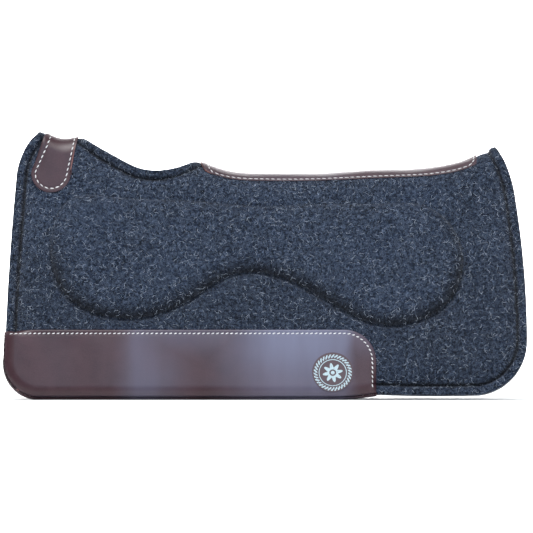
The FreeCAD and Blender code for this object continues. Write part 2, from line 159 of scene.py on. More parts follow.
def evenly(path: np.ndarray, spacing: float) -> np.ndarray:
    """A path drawn again with even spacing, both ends kept.

    Args:
        path: places along the path.
        spacing: wanted distance between places.

    Returns:
        Places with even spacing.
    """
    run = np.concatenate([[0], np.cumsum(np.linalg.norm(np.diff(path, axis=0), axis=1))])
    places = np.linspace(0, run[-1], max(2, round(run[-1] / spacing) + 1))
    return np.column_stack([np.interp(places, run, path[:, k]) for k in range(path.shape[1])])


def smooth(value: np.ndarray, low: float, high: float) -> np.ndarray:
    """Rises from 0 at low to 1 at high with level ends."""
    share = np.clip((value - low) / (high - low), 0, 1)
    return share * share * (3 - 2 * share)


def cushion(share: np.ndarray) -> np.ndarray:
    """Quarter round: 0 at 0, level at 1, steep at its foot."""
    share = np.clip(share, 0, 1)
    return np.sqrt(1 - (1 - share) ** 2)


def bell(value: np.ndarray, width: float) -> np.ndarray:
    """Narrow rise of height 1 round zero."""
    return np.exp(-((value / width) ** 2))


def inside(places: np.ndarray, loop: np.ndarray) -> np.ndarray:
    """Whether each place lies inside a closed loop.

    Args:
        places: places to test.
        loop: corners of the loop.

    Returns:
        One truth value for each place.
    """
    result = np.zeros(len(places), bool)
    x, y = places[:, 0], places[:, 1]
    for (ax, ay), (bx, by) in zip(loop, np.roll(loop, -1, axis=0)):
        if ay != by:
            crosses = (ay > y) != (by > y)
            result ^= crosses & (x < (bx - ax) * (y - ay) / (by - ay) + ax)
    return result


def signed_area(loop: np.ndarray) -> float:
    """Area of a closed loop, below zero when it runs clockwise."""
    after = np.roll(loop, -1, axis=0)
    return 0.5 * float(np.sum(loop[:, 0] * after[:, 1] - after[:, 0] * loop[:, 1]))


def steps_into(path: np.ndarray, loop: np.ndarray, closed: bool = False) -> np.ndarray:
    """Unit steps square to a path, towards the inside of a loop.

    Args:
        path: places along the loop or a part of it.
        loop: closed loop.
        closed: whether the path comes back to its first place.

    Returns:
        One step for each place of the path.
    """
    ahead = np.roll(path, -1, axis=0) - np.roll(path, 1, axis=0) if closed else np.gradient(path, axis=0)
    ahead /= np.linalg.norm(ahead, axis=1)[:, None]
    inwards = np.column_stack([ahead[:, 1], -ahead[:, 0]])
    middle = slice(len(path) // 2, len(path) // 2 + 1)
    return inwards if inside(path[middle] + inwards[middle] * 0.01, loop)[0] else -inwards


class Edge:
    """Path that distances are measured from, with a run length at each of its places."""

    FINE = 0.0004

    def __init__(self, path: np.ndarray) -> None:
        """Lays the path out finely and sorts it for searching.

        Args:
            path: places along the edge.
        """
        self.path = evenly(path, self.FINE)
        self.tree = kdtree.KDTree(len(self.path))
        for number, (x, y) in enumerate(self.path):
            self.tree.insert((x, y, 0), number)
        self.tree.balance()

    def measure(self, places: np.ndarray) -> tuple[np.ndarray, np.ndarray]:
        """Distance to the path from each place, and how far along the path that is."""
        found = [self.tree.find((x, y, 0))[1:] for x, y in places]
        return np.array([f[1] for f in found]), np.array([f[0] for f in found]) * self.FINE


# ---------------------------------------------------------------- the pad's shape
@dataclass
class PadShape:
    """Outer face of the pad: flat flanks that run into a ridge arc of changing radius."""

    tilt: float = math.radians(18)
    apex: float = 0.4607
    felt: float = 0.006
    core: float = 0.008
    bar_rise: float = 0.008
    spine_points: list = field(default_factory=lambda: [
        (-.410, .406), (-.345, .4065), (-.308, .391), (-.276, .3955), (-.190, .376), (-.107, .3595),
        (-.062, .344), (-.010, .339), (.050, .3385), (.180, .344), (.270, .3505), (.305, .3605),
        (.347, .3825), (.410, .385)])
    opening_points: list = field(default_factory=lambda: [
        (-.277, 0), (-.262, 42), (-.245, 61), (-.215, 71), (-.180, 69), (-.150, 57), (-.122, 32), (-.107, 0)])
    bar_points: list = field(default_factory=lambda: [
        (-.325, .215), (-.306, .162), (-.250, .127), (-.190, .123), (-.110, .153), (-.055, .186),
        (-.012, .1915), (.040, .177), (.110, .138), (.165, .114), (.225, .117), (.275, .146),
        (.297, .200), (.288, .248), (.245, .289), (.175, .294), (.080, .293), (-.010, .290),
        (-.110, .298), (-.230, .304), (-.298, .299), (-.321, .262)])
    front_ear: tuple = ((-.3437, .4063), (-.364, .381), (-.377, .345))
    front_edge: tuple = ((-.377, .345), (-.388, .201), (-.394, .066))
    front_corner: tuple = ((-.394, .066), (-.381, .023), (-.338, .0058))
    leather_end_arc: tuple = ((.100, .0058), (.133, .0073), (.166, .0118))
    bottom_edge: tuple = ((.166, .0118), (.247, .0100), (.322, .0108))
    rear_corner: tuple = ((.322, .0108), (.374, .039), (.394, .097))
    rear_edge: tuple = ((.394, .097), (.389, .209), (.3776, .303))
    rear_ear: tuple = ((.3776, .303), (.367, .347), (.3484, .3835))

    @property
    def pad_depth(self) -> float:
        """Thickness through both felts and the core."""
        return 2 * self.felt + self.core

    @property
    def core_depth(self) -> float:
        """Depth of the core's inner face."""
        return self.felt + self.core

    @cached_property
    def spine(self) -> np.ndarray:
        """Spine line in the side view."""
        return spline_through(self.spine_points)

    @cached_property
    def opening(self) -> np.ndarray:
        """Half angle taken out of the ridge by the wither opening, by place along it in millimetres."""
        return spline_through([(x * 1000, angle) for x, angle in self.opening_points])

    def ridge(self, along: np.ndarray) -> tuple[np.ndarray, np.ndarray, np.ndarray]:
        """Ridge arc at places along the spine.

        Args:
            along: places along the spine.

        Returns:
            The arc's radius, the drop at the foot of the arc, and the drop at its top.
        """
        height = np.interp(along, self.spine[:, 0], self.spine[:, 1])
        radius = (self.apex - height) / (1 / math.sin(self.tilt) - 1)
        centre = self.apex - radius / math.sin(self.tilt)
        foot = (self.apex - centre - radius * math.sin(self.tilt)) / math.cos(self.tilt)
        return radius, foot, foot - radius * (math.pi / 2 - self.tilt)

    def place(self, along: np.ndarray, drop: np.ndarray, depth: np.ndarray, side: Side) -> np.ndarray:
        """Places in space of points on the flat cloth.

        Args:
            along: place along the spine.
            drop: distance down the side.
            depth: distance in from the outer face.
            side: side of the pad.

        Returns:
            One row of X, Y and Z for each point.
        """
        radius, foot, _ = self.ridge(along)
        angle = math.pi / 2 - self.tilt - (foot - drop) / radius
        centre = self.apex - radius / math.sin(self.tilt)
        on_flank = drop >= foot
        out = np.where(on_flank, drop * math.sin(self.tilt) - depth * math.cos(self.tilt),
                       (radius - depth) * np.sin(angle))
        up = np.where(on_flank, self.apex - drop * math.cos(self.tilt) - depth * math.sin(self.tilt),
                      centre + (radius - depth) * np.cos(angle))
        return np.column_stack([along, side.value * out, up])

    def laid_flat(self, path: np.ndarray) -> np.ndarray:
        """Side-view places on the outer face, moved onto the flat cloth.

        Args:
            path: X and Z of each place.

        Returns:
            Place along the spine and drop of each.
        """
        along, height = path[:, 0], path[:, 1]
        radius, foot, _ = self.ridge(along)
        centre = self.apex - radius / math.sin(self.tilt)
        angle = np.arccos(np.clip((height - centre) / radius, -1, 1))
        flank = (self.apex - height) / math.cos(self.tilt)
        drop = np.where(flank >= foot, flank, foot - radius * (math.pi / 2 - self.tilt - angle))
        return np.column_stack([along, drop])

    @cached_property
    def cut_edge(self) -> np.ndarray:
        """The pad's real edge on the flat cloth: front ear, front, bottom, rear and rear ear.

        Returns:
            Places from the top of the ridge at the front, round to the top at the rear.
        """
        parts = [arc_through(*self.front_ear), arc_through(*self.front_edge), arc_through(*self.front_corner),
                 np.array([self.front_corner[2], self.leather_end_arc[0]]),
                 arc_through(*self.leather_end_arc), arc_through(*self.bottom_edge),
                 arc_through(*self.rear_corner), arc_through(*self.rear_edge), arc_through(*self.rear_ear)]
        path = np.vstack([evenly(part, 0.002) if i == 0 else evenly(part, 0.002)[1:]
                          for i, part in enumerate(parts)])
        flat = self.laid_flat(path)
        for end in (0, -1):
            flat[end, 1] = self.ridge(flat[end, :1])[2][0]
        return flat

    @cached_property
    def opening_edge(self) -> np.ndarray:
        """Edge of the wither opening on the flat cloth, from its rear end to its front end.

        Returns:
            Place along the spine and drop of each.
        """
        along, angle = self.opening[::-1, 0] / 1000, np.radians(np.clip(self.opening[::-1, 1], 0, None))
        radius, _, top = self.ridge(along)
        return np.column_stack([along, top + radius * angle])

    @cached_property
    def outline(self) -> np.ndarray:
        """Closed outline of one side on the flat cloth.

        Returns:
            Places round the side, without the first one again.
        """
        ridge_rear = np.linspace(self.cut_edge[-1, 0], self.opening_edge[0, 0], 190)[1:-1]
        ridge_front = np.linspace(self.opening_edge[-1, 0], self.cut_edge[0, 0], 30)[1:-1]
        runs = [self.cut_edge]
        for run, after in ((ridge_rear, self.opening_edge), (ridge_front, None)):
            runs.append(np.column_stack([run, self.ridge(run)[2]]))
            if after is not None:
                runs.append(evenly(after, 0.002))
        return np.vstack(runs)

    @cached_property
    def bar(self) -> np.ndarray:
        """Outline of the raised bar panel on the flat cloth."""
        return self.laid_flat(spline_through(self.bar_points, closed=True))


@dataclass
class LeatherGuard:
    """Place of the wear leather on a flank."""

    top: float = 0.104
    rear: float = 0.166
    corner: float = 0.048
    thickness: float = 0.0025
    stitch_inset: float = 0.0057
    hem: float = 0.035

    def inner_path(self, shape: PadShape, inset: float = 0.0) -> np.ndarray:
        """Cut edge of the leather, or a line inside it, from the front to the bottom.

        Args:
            shape: the pad's shape.
            inset: distance in from the cut edge.

        Returns:
            Places on the flat cloth.
        """
        top, rear, corner = self.top - inset, self.rear - inset, self.corner - inset
        bend = corner * (1 - math.sqrt(0.5))
        turn = arc_through((rear - corner, top), (rear - bend, top - bend), (rear, top - corner), 24)
        path = np.vstack([[(-.43, top)], turn, [(rear, -.03)]])
        return shape.laid_flat(evenly(path, 0.002))

    def zone(self, shape: PadShape) -> np.ndarray:
        """Closed loop round everything that the leather may cover.

        Args:
            shape: the pad's shape.

        Returns:
            Corners of the loop.
        """
        path = self.inner_path(shape)
        low = path[-1, 1] + 0.02
        return np.vstack([path, [(path[-1, 0], low), (path[0, 0], low)]])


class Relief:
    """Depth of the felt's outer face over one side's flat cloth."""

    GROOVE = 0.0145
    GROOVE_DROP = 0.0046
    GROOVE_WALL = 0.0036
    # Width of the painted shade in the rim groove.
    GROOVE_SHADE_WIDTH = 0.0031
    PILLOW = 0.021
    SLOW_RISE = 0.3
    FLANGE = 0.008
    RIDGE_FLANGE = 0.0008
    FLANGE_FADE = (0.016, 0.1)
    RIM_ROUND = 0.0036
    RIM_SWELL = 0.0006
    PUCKER = 0.00035
    PUCKER_PITCH = 0.0105
    LEATHER_DROP = 0.0085
    LEATHER_ROUND = 0.016
    BAR_GROOVE = -0.0014
    BAR_RUN = 0.024
    BAR_SEAM = 0.0033
    BAR_SEAM_WIDTH = 0.0028
    BAR_SHOULDER = 0.0014
    WRINKLE = 0.0003
    WRINKLE_PITCH = 0.013
    SPINE_SEAM = 0.0012
    # Painted shade on the lower flank below the bar panel, where the panel shades the felt; the flange
    # outside the rim groove is darkened by the same amount.
    LOW_SHADE_AND_FLANGE_DARKENING = 0.24
    PUFF_CAP = 0.0035

    def __init__(self, shape: PadShape, leather: LeatherGuard) -> None:
        """Gets the edges that the relief is measured from.

        Args:
            shape: the pad's shape.
            leather: place of the wear leather.
        """
        self.shape = shape
        self.edge = Edge(shape.cut_edge)
        self.opening = Edge(shape.opening_edge)
        self.bar = Edge(np.vstack([shape.bar, shape.bar[:1]]))
        self.leather_edge = Edge(leather.inner_path(shape))
        self.zone = leather.zone(shape)
        self.bar_middle = float(shape.bar[:, 1].mean())
        self.puff_grid: tuple | None = None

    def from_edge(self, places: np.ndarray) -> tuple[np.ndarray, np.ndarray]:
        """Distance from the nearest real edge, and the run along it.

        Args:
            places: places on the flat cloth.

        Returns:
            Distances, and places along the nearest edge.
        """
        outer, run = self.edge.measure(places)
        hole, hole_run = self.opening.measure(places)
        return np.minimum(outer, hole), np.where(outer < hole, run, hole_run)

    def into_bar(self, places: np.ndarray) -> tuple[np.ndarray, np.ndarray]:
        """Distance inside the bar panel's seam, below zero outside it, and the run along it."""
        distance, run = self.bar.measure(places)
        return np.where(inside(places, self.shape.bar), distance, -distance), run

    def into_leather(self, places: np.ndarray) -> np.ndarray:
        """Distance inside the wear leather's cut edge, below zero outside it."""
        distance, _ = self.leather_edge.measure(places)
        return np.where(inside(places, self.zone), distance, -distance)

    def below_ridge(self, places: np.ndarray) -> np.ndarray:
        """Distance down from the top of the ridge."""
        return places[:, 1] - self.shape.ridge(places[:, 0])[2]

    def low_side(self, places: np.ndarray) -> np.ndarray:
        """From 0 above the bar panel to 1 along its lower edge, and about half at its rear end."""
        lower = smooth(places[:, 1] - self.bar_middle, -0.06, 0.03)
        return np.maximum(lower, 0.55 * smooth(places[:, 0], 0.22, 0.29))

    def puff(self, places: np.ndarray) -> np.ndarray:
        """Rise of the stuffed felt at each place, from the simulated cloth.

        Args:
            places: places on the flat cloth.

        Returns:
            Rise of each place, nothing before the simulation has run.
        """
        if self.puff_grid is None:
            return np.zeros(len(places))
        origin, spacing, rise = self.puff_grid
        cell = (places - origin) / spacing
        low = np.clip(np.floor(cell).astype(int), 0, np.array(rise.shape) - 2)
        share = np.clip(cell - low, 0, 1)
        i, j = low[:, 0], low[:, 1]
        a, b = share[:, 0], share[:, 1]
        return ((1 - a) * (1 - b) * rise[i, j] + a * (1 - b) * rise[i + 1, j]
                + (1 - a) * b * rise[i, j + 1] + a * b * rise[i + 1, j + 1])

    def edge_depth(self, gap: np.ndarray, run: np.ndarray, below: np.ndarray) -> np.ndarray:
        """Depth of the thin flange, its groove and the pillow that rises behind it.

        Args:
            gap: distance from the nearest real edge.
            run: place along that edge.
            below: distance down from the top of the ridge.

        Returns:
            Depth of each place, without the bar panel and the leather.
        """
        flange = self.RIDGE_FLANGE + (self.FLANGE - self.RIDGE_FLANGE) * smooth(below, *self.FLANGE_FADE)
        groove = flange + self.GROOVE_DROP
        rim = (flange + self.RIM_ROUND * (1 - cushion(gap / self.RIM_ROUND))
               - self.RIM_SWELL * bell(gap - 0.008, 0.003))
        foot = self.GROOVE + 0.0006
        pillow = groove * (1 - self.SLOW_RISE * smooth(gap, foot, foot + 1.6 * self.PILLOW)
                           - (1 - self.SLOW_RISE) * cushion((gap - foot) / self.PILLOW))
        into = smooth(gap, self.GROOVE - self.GROOVE_WALL, self.GROOVE - 0.0008)
        depth = np.where(gap < foot, rim * (1 - into) + groove * into, pillow)
        pucker = (np.sin(run * 2 * math.pi / self.PUCKER_PITCH + 1.7 * np.sin(run * 41))
                  * bell(gap - foot - 0.004, 0.0045))
        return depth + self.PUCKER * pucker * (gap > foot)

    def bar_depth(self, places: np.ndarray) -> tuple[np.ndarray, np.ndarray]:
        """Rise of the bar panel and depth of its seam.

        Args:
            places: places on the flat cloth.

        Returns:
            Rise of the panel with the small wrinkles beside its seam, and how deep the seam is pulled in.
        """
        bar, run = self.into_bar(places)
        swell = self.shape.bar_rise * cushion(bar / self.BAR_RUN)
        wrinkle = (np.sin(run * 2 * math.pi / self.WRINKLE_PITCH + 2.1 * np.sin(run * 33))
                   * bell(bar - 0.005, 0.005))
        deep = 0.12 + 0.88 * self.low_side(places)
        seam = deep * (self.BAR_SEAM * bell(bar - self.BAR_GROOVE, self.BAR_SEAM_WIDTH)
                       + self.BAR_SHOULDER * np.exp(-np.clip(-bar, 0, 1) / 0.012))
        return np.where(bar > 0, swell + self.WRINKLE * wrinkle, 0), seam

    def depth(self, places: np.ndarray) -> np.ndarray:
        """Depth of the felt's outer face.

        Args:
            places: places on the flat cloth.

        Returns:
            Depth of each place in from the pad's outer face.
        """
        gap, run = self.from_edge(places)
        below = self.below_ridge(places)
        under = smooth(self.into_leather(places), -0.0005, 0.007)
        soft_edge = self.LEATHER_DROP * (1 - cushion(gap / self.LEATHER_ROUND))
        depth = self.edge_depth(gap, run, below) * (1 - under) + soft_edge * under
        swell, seam = self.bar_depth(places)
        depth = depth - swell + seam * (1 - under)
        free = (1 - under) * smooth(gap, self.GROOVE, self.GROOVE + 0.01)
        return depth - self.puff(places) * free + self.SPINE_SEAM * bell(below, 0.0028) * (1 - under)

    def painted_shade(self, places: np.ndarray) -> np.ndarray:
        """Painted shade on the felt in the rim groove, round the bar panel's seam and on the lower flank
        below the panel, with the flange outside the groove darkened as well.

        Args:
            places: places on the flat cloth.

        Returns:
            Amount of painted shade, from 0 on open felt to 1 in the middle of the rim groove.
        """
        gap, _ = self.from_edge(places)
        bar, _ = self.into_bar(places)
        low = self.low_side(places)
        # Painted shade in the rim groove.
        rim = bell(gap - self.GROOVE - 0.0004, self.GROOVE_SHADE_WIDTH)
        # Painted shade on the lower flank below the bar panel, and the same darkening on the flange outside
        # the rim groove.
        low_shade_and_dark_flange = self.LOW_SHADE_AND_FLANGE_DARKENING * np.maximum(low * (bar < 0), gap < self.GROOVE)
        # Painted shade round the bar panel's seam: wide on the panel's lower slope, which faces down away
        # from the light, and strongest along its lower edge.
        panel = (0.04 + 0.8 * low) * bell(bar - 0.002, np.where(bar > 0.002, 0.014, 0.0042))
        return np.clip(np.maximum(np.maximum(rim, panel), low_shade_and_dark_flange), 0, 1)


class StuffedCloth:
    """Cloth simulation of one side's felt, laid flat and blown up between its seams."""

    SPACING = 0.006
    FRAMES = 20
    PRESSURE = 4.0
    STIFFNESS = 14.0
    SHRINK = -0.012
    HELD_RIM = 0.018
    HELD_SEAM = 0.0045
    HELD_RIDGE = 0.022

    def __init__(self, relief: Relief) -> None:
        """Keeps the relief that the cloth belongs to."""
        self.relief = relief

    def fill(self) -> None:
        """Runs the simulation and gives its rise to the relief."""
        outline = self.relief.shape.outline
        origin = outline.min(axis=0) - self.SPACING
        count = np.ceil((outline.max(axis=0) + self.SPACING - origin) / self.SPACING).astype(int) + 1
        grid = np.stack(np.meshgrid(*[np.arange(n) * self.SPACING for n in count], indexing="ij"), axis=-1)
        places = grid.reshape(-1, 2) + origin
        gap, _ = self.relief.from_edge(places)
        bar, _ = self.relief.into_bar(places)
        held = ~inside(places, outline) | (gap < self.HELD_RIM) | (np.abs(bar + 0.001) < self.HELD_SEAM)
        held |= self.relief.below_ridge(places) < self.HELD_RIDGE
        held |= self.relief.into_leather(places) > -0.003
        rise = self._simulate(places, count, held)
        self.relief.puff_grid = (origin, self.SPACING, rise)
        log.info("stuffed cloth: %d points, highest rise %.1f mm", len(places), rise.max() * 1000)

    def _simulate(self, places: np.ndarray, count: np.ndarray, held: np.ndarray) -> np.ndarray:
        """Steps the cloth and reads how far each point has risen.

        Args:
            places: points of the cloth, laid flat.
            count: rows and columns of points.
            held: which points can't move.

        Returns:
            Rise of each point, by row and column.
        """
        index = np.arange(len(places)).reshape(count)
        faces = np.stack([index[:-1, :-1], index[1:, :-1], index[1:, 1:], index[:-1, 1:]], -1).reshape(-1, 4)
        mesh = bpy.data.meshes.new("stuffed_cloth")
        mesh.from_pydata([(x, y, 0) for x, y in places], [], faces.tolist())
        cloth_object = bpy.data.objects.new("stuffed_cloth", mesh)
        bpy.context.scene.collection.objects.link(cloth_object)
        group = cloth_object.vertex_groups.new(name="held")
        group.add([int(i) for i in np.flatnonzero(held)], 1.0, "REPLACE")
        cloth = cloth_object.modifiers.new("cloth", "CLOTH")
        settings = cloth.settings
        settings.vertex_group_mass = group.name
        settings.quality, settings.mass = 5, 0.3
        settings.tension_stiffness = settings.compression_stiffness = self.STIFFNESS
        settings.shear_stiffness, settings.bending_stiffness = 5, 0.6
        settings.shrink_min = self.SHRINK
        settings.use_pressure, settings.uniform_pressure_force = True, self.PRESSURE
        settings.effector_weights.gravity = 0
        cloth.collision_settings.use_collision = False
        cloth.point_cache.frame_start, cloth.point_cache.frame_end = 1, self.FRAMES
        for frame in range(1, self.FRAMES + 1):
            bpy.context.scene.frame_set(frame)
        shaped = cloth_object.evaluated_get(bpy.context.evaluated_depsgraph_get())
        height = np.array([vertex.co.z for vertex in shaped.data.vertices])
        bpy.data.objects.remove(cloth_object)
        bpy.context.scene.frame_set(1)
        height = np.abs(height) * (~held)
        top = np.percentile(height[height > 0], 98) if (height > 0).any() else 1.0
        return (np.clip(height / max(top, 1e-6), 0, 1) * self.relief.PUFF_CAP).reshape(count)


# ---------------------------------------------------------------- meshes
class FlatCloth:
    """Triangles over a region of the flat cloth, finer where the relief turns quickly."""

    FINE, COARSE = 0.0016, 0.0034
    SEAM_BAND = 0.0055

    def __init__(self, relief: Relief, loop: np.ndarray) -> None:
        """Keeps the relief and the region's loop."""
        self.relief, self.loop = relief, loop

    def _grid(self, spacing: float) -> np.ndarray:
        """Staggered grid of places inside the loop.

        Args:
            spacing: distance between places.

        Returns:
            The places.
        """
        low, high = self.loop.min(axis=0), self.loop.max(axis=0)
        rows = np.arange(low[1], high[1], spacing * 0.866)
        shift = (np.arange(len(rows)) % 2) * spacing / 2
        columns = np.arange(low[0], high[0], spacing)
        places = np.column_stack([(columns[None, :] + shift[:, None]).ravel(), np.repeat(rows, len(columns))])
        return places[inside(places, self.loop)]

    def triangles(self, detail: bool = True) -> tuple[np.ndarray, np.ndarray, int]:
        """Places and triangles over the region.

        Args:
            detail: whether seams get finer triangles and their own rows of places.

        Returns:
            Places, triangles, and the number of places on the loop, which come first.
        """
        border = Edge(np.vstack([self.loop, self.loop[:1]]))
        coarse = self._grid(self.COARSE if detail else 3 * self.COARSE)
        sets = []
        if detail:
            fine = self._grid(self.FINE)
            near_seam = self._seam_gap(fine)
            sets.append(fine[near_seam < self.SEAM_BAND])
            coarse = coarse[self._seam_gap(coarse) >= self.SEAM_BAND]
        sets.append(coarse)
        free = np.vstack(sets)
        keep = border.measure(free)[0] > (0.0009 if detail else 0.004)
        places = np.vstack([self.loop, free[keep]])
        ring = len(self.loop)
        result = delaunay_2d_cdt([Vector(p) for p in places], [], [list(range(ring))], 1, 1e-7, True)
        verts, _, faces, origins = result[:4]
        number = [source[0] if source else -1 for source in origins]
        made = np.array([(v.x, v.y) for v in verts])
        lookup = {source: i for i, source in enumerate(number) if source >= 0}
        order = [lookup[i] for i in range(ring)]
        taken = set(order)
        rest = [i for i in range(len(made)) if i not in taken]
        renumber = np.empty(len(made), int)
        renumber[order + rest] = np.arange(len(made))
        corners = np.array(faces)
        corners = corners[inside(made[corners].mean(axis=1), self.loop)]
        return made[order + rest], renumber[corners], ring

    def _seam_gap(self, places: np.ndarray) -> np.ndarray:
        """Distance to whatever needs fine triangles.

        Args:
            places: places on the flat cloth.

        Returns:
            Distance of each place.
        """
        gap, _ = self.relief.from_edge(places)
        bar, _ = self.relief.into_bar(places)
        leather = self.relief.into_leather(places)
        rim = np.minimum(gap, np.abs(gap - self.relief.GROOVE))
        return np.minimum(np.minimum(rim, np.abs(bar + 0.0005)), np.abs(leather - 0.003) + 0.002)


def facing_outwards(places: np.ndarray, faces: np.ndarray) -> np.ndarray:
    """Triangles on the flat cloth turned so that they face out of the near side.

    Args:
        places: places on the flat cloth.
        faces: corners of each triangle.

    Returns:
        The triangles, some of them turned round.
    """
    a, b, c = (places[faces[:, k]] for k in range(3))
    area = (b[:, 0] - a[:, 0]) * (c[:, 1] - a[:, 1]) - (b[:, 1] - a[:, 1]) * (c[:, 0] - a[:, 0])
    return np.where((area > 0)[:, None], faces[:, ::-1], faces)


def make_piece(name: str, verts: np.ndarray, faces: list, cloth: np.ndarray | None = None,
               painted_shade: np.ndarray | None = None) -> bpy.types.Object:
    """Object with a mesh, smooth shaded, with its cloth map and its painted shade attribute.

    Args:
        name: piece name.
        verts: places in space.
        faces: corners of each face.
        cloth: place of each vertex on the flat cloth.
        painted_shade: painted shade of each vertex, from 0 to 1.

    Returns:
        The new object, in the scene.
    """
    mesh = bpy.data.meshes.new(name)
    mesh.from_pydata(verts.tolist(), [], faces)
    if cloth is not None:
        layer = mesh.uv_layers.new(name=CLOTH_MAP)
        corners = np.empty(len(mesh.loops), int)
        mesh.loops.foreach_get("vertex_index", corners)
        layer.data.foreach_set("uv", cloth[corners].astype(np.float32).ravel())
    if painted_shade is not None:
        attribute = mesh.attributes.new(SHADE_ATTRIBUTE, "FLOAT", "POINT")
        attribute.data.foreach_set("value", painted_shade.astype(np.float32))
    mesh.polygons.foreach_set("use_smooth", np.ones(len(mesh.polygons), bool))
    mesh.update()
    piece = bpy.data.objects.new(name, mesh)
    bpy.context.scene.collection.objects.link(piece)
    return piece


def applied(piece: bpy.types.Object) -> bpy.types.Object:
    """Turns a piece's modifiers into plain mesh.

    Args:
        piece: object with modifiers.

    Returns:
        The same object with its new mesh.
    """
    mesh = bpy.data.meshes.new_from_object(piece.evaluated_get(bpy.context.evaluated_depsgraph_get()))
    piece.modifiers.clear()
    piece.data = mesh
    mesh.name = piece.name
    return piece


def ring_faces(first: list[int], second: list[int], closed: bool = True) -> list[tuple]:
    """Quads between two rows of vertices of equal length.

    Args:
        first: vertex numbers of one row.
        second: vertex numbers of the next.
        closed: whether the rows go all the way round.

    Returns:
        Corners of each quad.
    """
    count = len(first)
    return [(first[i], first[(i + 1) % count], second[(i + 1) % count], second[i])
            for i in range(count if closed else count - 1)]


def turned(faces: list, side: Side) -> list:
    """Faces written for the near side, turned round for the off side."""
    return faces if side is Side.NEAR else [tuple(face)[::-1] for face in faces]


def shell(front: tuple, back: tuple, shared: int, loop: np.ndarray,
          closed: bool = True) -> tuple[np.ndarray, np.ndarray, list]:
    """Skin made of a front, a back, and a wall between the places that both share.

    Args:
        front: places, triangles and depths of the outer face.
        back: places, triangles and depths of the inner face.
        shared: how many of their first places the two share.
        loop: loop round the front, which tells which way the wall faces.
        closed: whether the wall goes all the way round.

    Returns:
        Places on the flat cloth, their depths, and the faces.
    """
    places, faces, depth = front
    back_places, back_faces, back_depth = back
    all_places, depths, rows = [places], [depth], [list(range(shared))]
    count = len(places)
    for row in range(1, WALL_ROWS):
        share = row / WALL_ROWS
        all_places.append(places[:shared])
        depths.append(depth[:shared] * (1 - share) + back_depth[:shared] * share)
        rows.append(list(range(count, count + shared)))
        count += shared
    rows.append(list(range(count, count + shared)))
    wall = [quad for first, second in zip(rows, rows[1:]) for quad in ring_faces(first, second, closed)]
    if signed_area(loop) > 0:
        wall = [quad[::-1] for quad in wall]
    skin = [tuple(f) for f in faces.tolist()] + wall + [tuple(f)[::-1] for f in (back_faces + count).tolist()]
    return np.vstack([*all_places, back_places]), np.concatenate([*depths, back_depth]), skin


def over_ridge(piece: bpy.types.Object) -> None:
    """Bakes a piece's placement into its mesh."""
    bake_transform(piece)


# ---------------------------------------------------------------- node trees
def tint(red: int, green: int, blue: int) -> tuple[float, float, float, float]:
    """Display colour of 0 to 255 as a linear colour.

    Args:
        red: red, from 0 to 255.
        green: green.
        blue: blue.

    Returns:
        Red, green, blue and a full alpha.
    """
    parts = [value / 255 for value in (red, green, blue)]
    linear = [c / 12.92 if c <= 0.04045 else ((c + 0.055) / 1.055) ** 2.4 for c in parts]
    return (*linear, 1.0)


class Wire:
    """Output of a shader node that takes part in Python expressions."""

    def __init__(self, kit: "Kit", socket: bpy.types.NodeSocket) -> None:
        self.kit, self.socket = kit, socket

    def _math(self, operation: str, *values: object) -> "Wire":
        """Adds one Math node."""
        node = self.kit.add("ShaderNodeMath", {"operation": operation}, dict(enumerate(values)))
        return Wire(self.kit, node.outputs[0])

    def __add__(self, other: object) -> "Wire":
        """Sum with a value or another wire."""
        return self._math("ADD", self, other)

    def __radd__(self, other: object) -> "Wire":
        """Sum that starts with a plain value."""
        return self._math("ADD", other, self)

    def __sub__(self, other: object) -> "Wire":
        """This less another."""
        return self._math("SUBTRACT", self, other)

    def __rsub__(self, other: object) -> "Wire":
        """A plain value less this."""
        return self._math("SUBTRACT", other, self)

    def __mul__(self, other: object) -> "Wire":
        """Product with a value or another wire."""
        return self._math("MULTIPLY", self, other)

    def __rmul__(self, other: object) -> "Wire":
        """Product that starts with a plain value."""
        return self._math("MULTIPLY", other, self)

    def __truediv__(self, other: object) -> "Wire":
        """This over another."""
        return self._math("DIVIDE", self, other)

    def absolute(self) -> "Wire":
        """Value without its sign."""
        return self._math("ABSOLUTE", self)

    def sine(self) -> "Wire":
        """Sine of an angle."""
        return self._math("SINE", self)

    def around(self, across: "Wire") -> "Wire":
        """Angle of a place, from its height and its place across."""
        return self._math("ARCTAN2", self, across)

    def at_most(self, other: object) -> "Wire":
        """The smaller of two values."""
        return self._math("MINIMUM", self, other)

    def at_least(self, other: object) -> "Wire":
        """The larger of two values."""
        return self._math("MAXIMUM", self, other)

    def rise(self, low: float, high: float, start: float = 0.0, end: float = 1.0) -> "Wire":
        """Smooth step from start at low to end at high.

        Args:
            low: value where the step begins.
            high: value where it ends.
            start: result below the step.
            end: result above it.

        Returns:
            The step.
        """
        node = self.kit.add("ShaderNodeMapRange", {"interpolation_type": "SMOOTHSTEP"}, {
            "Value": self, "From Min": low, "From Max": high, "To Min": start, "To Max": end})
        return Wire(self.kit, node.outputs[0])


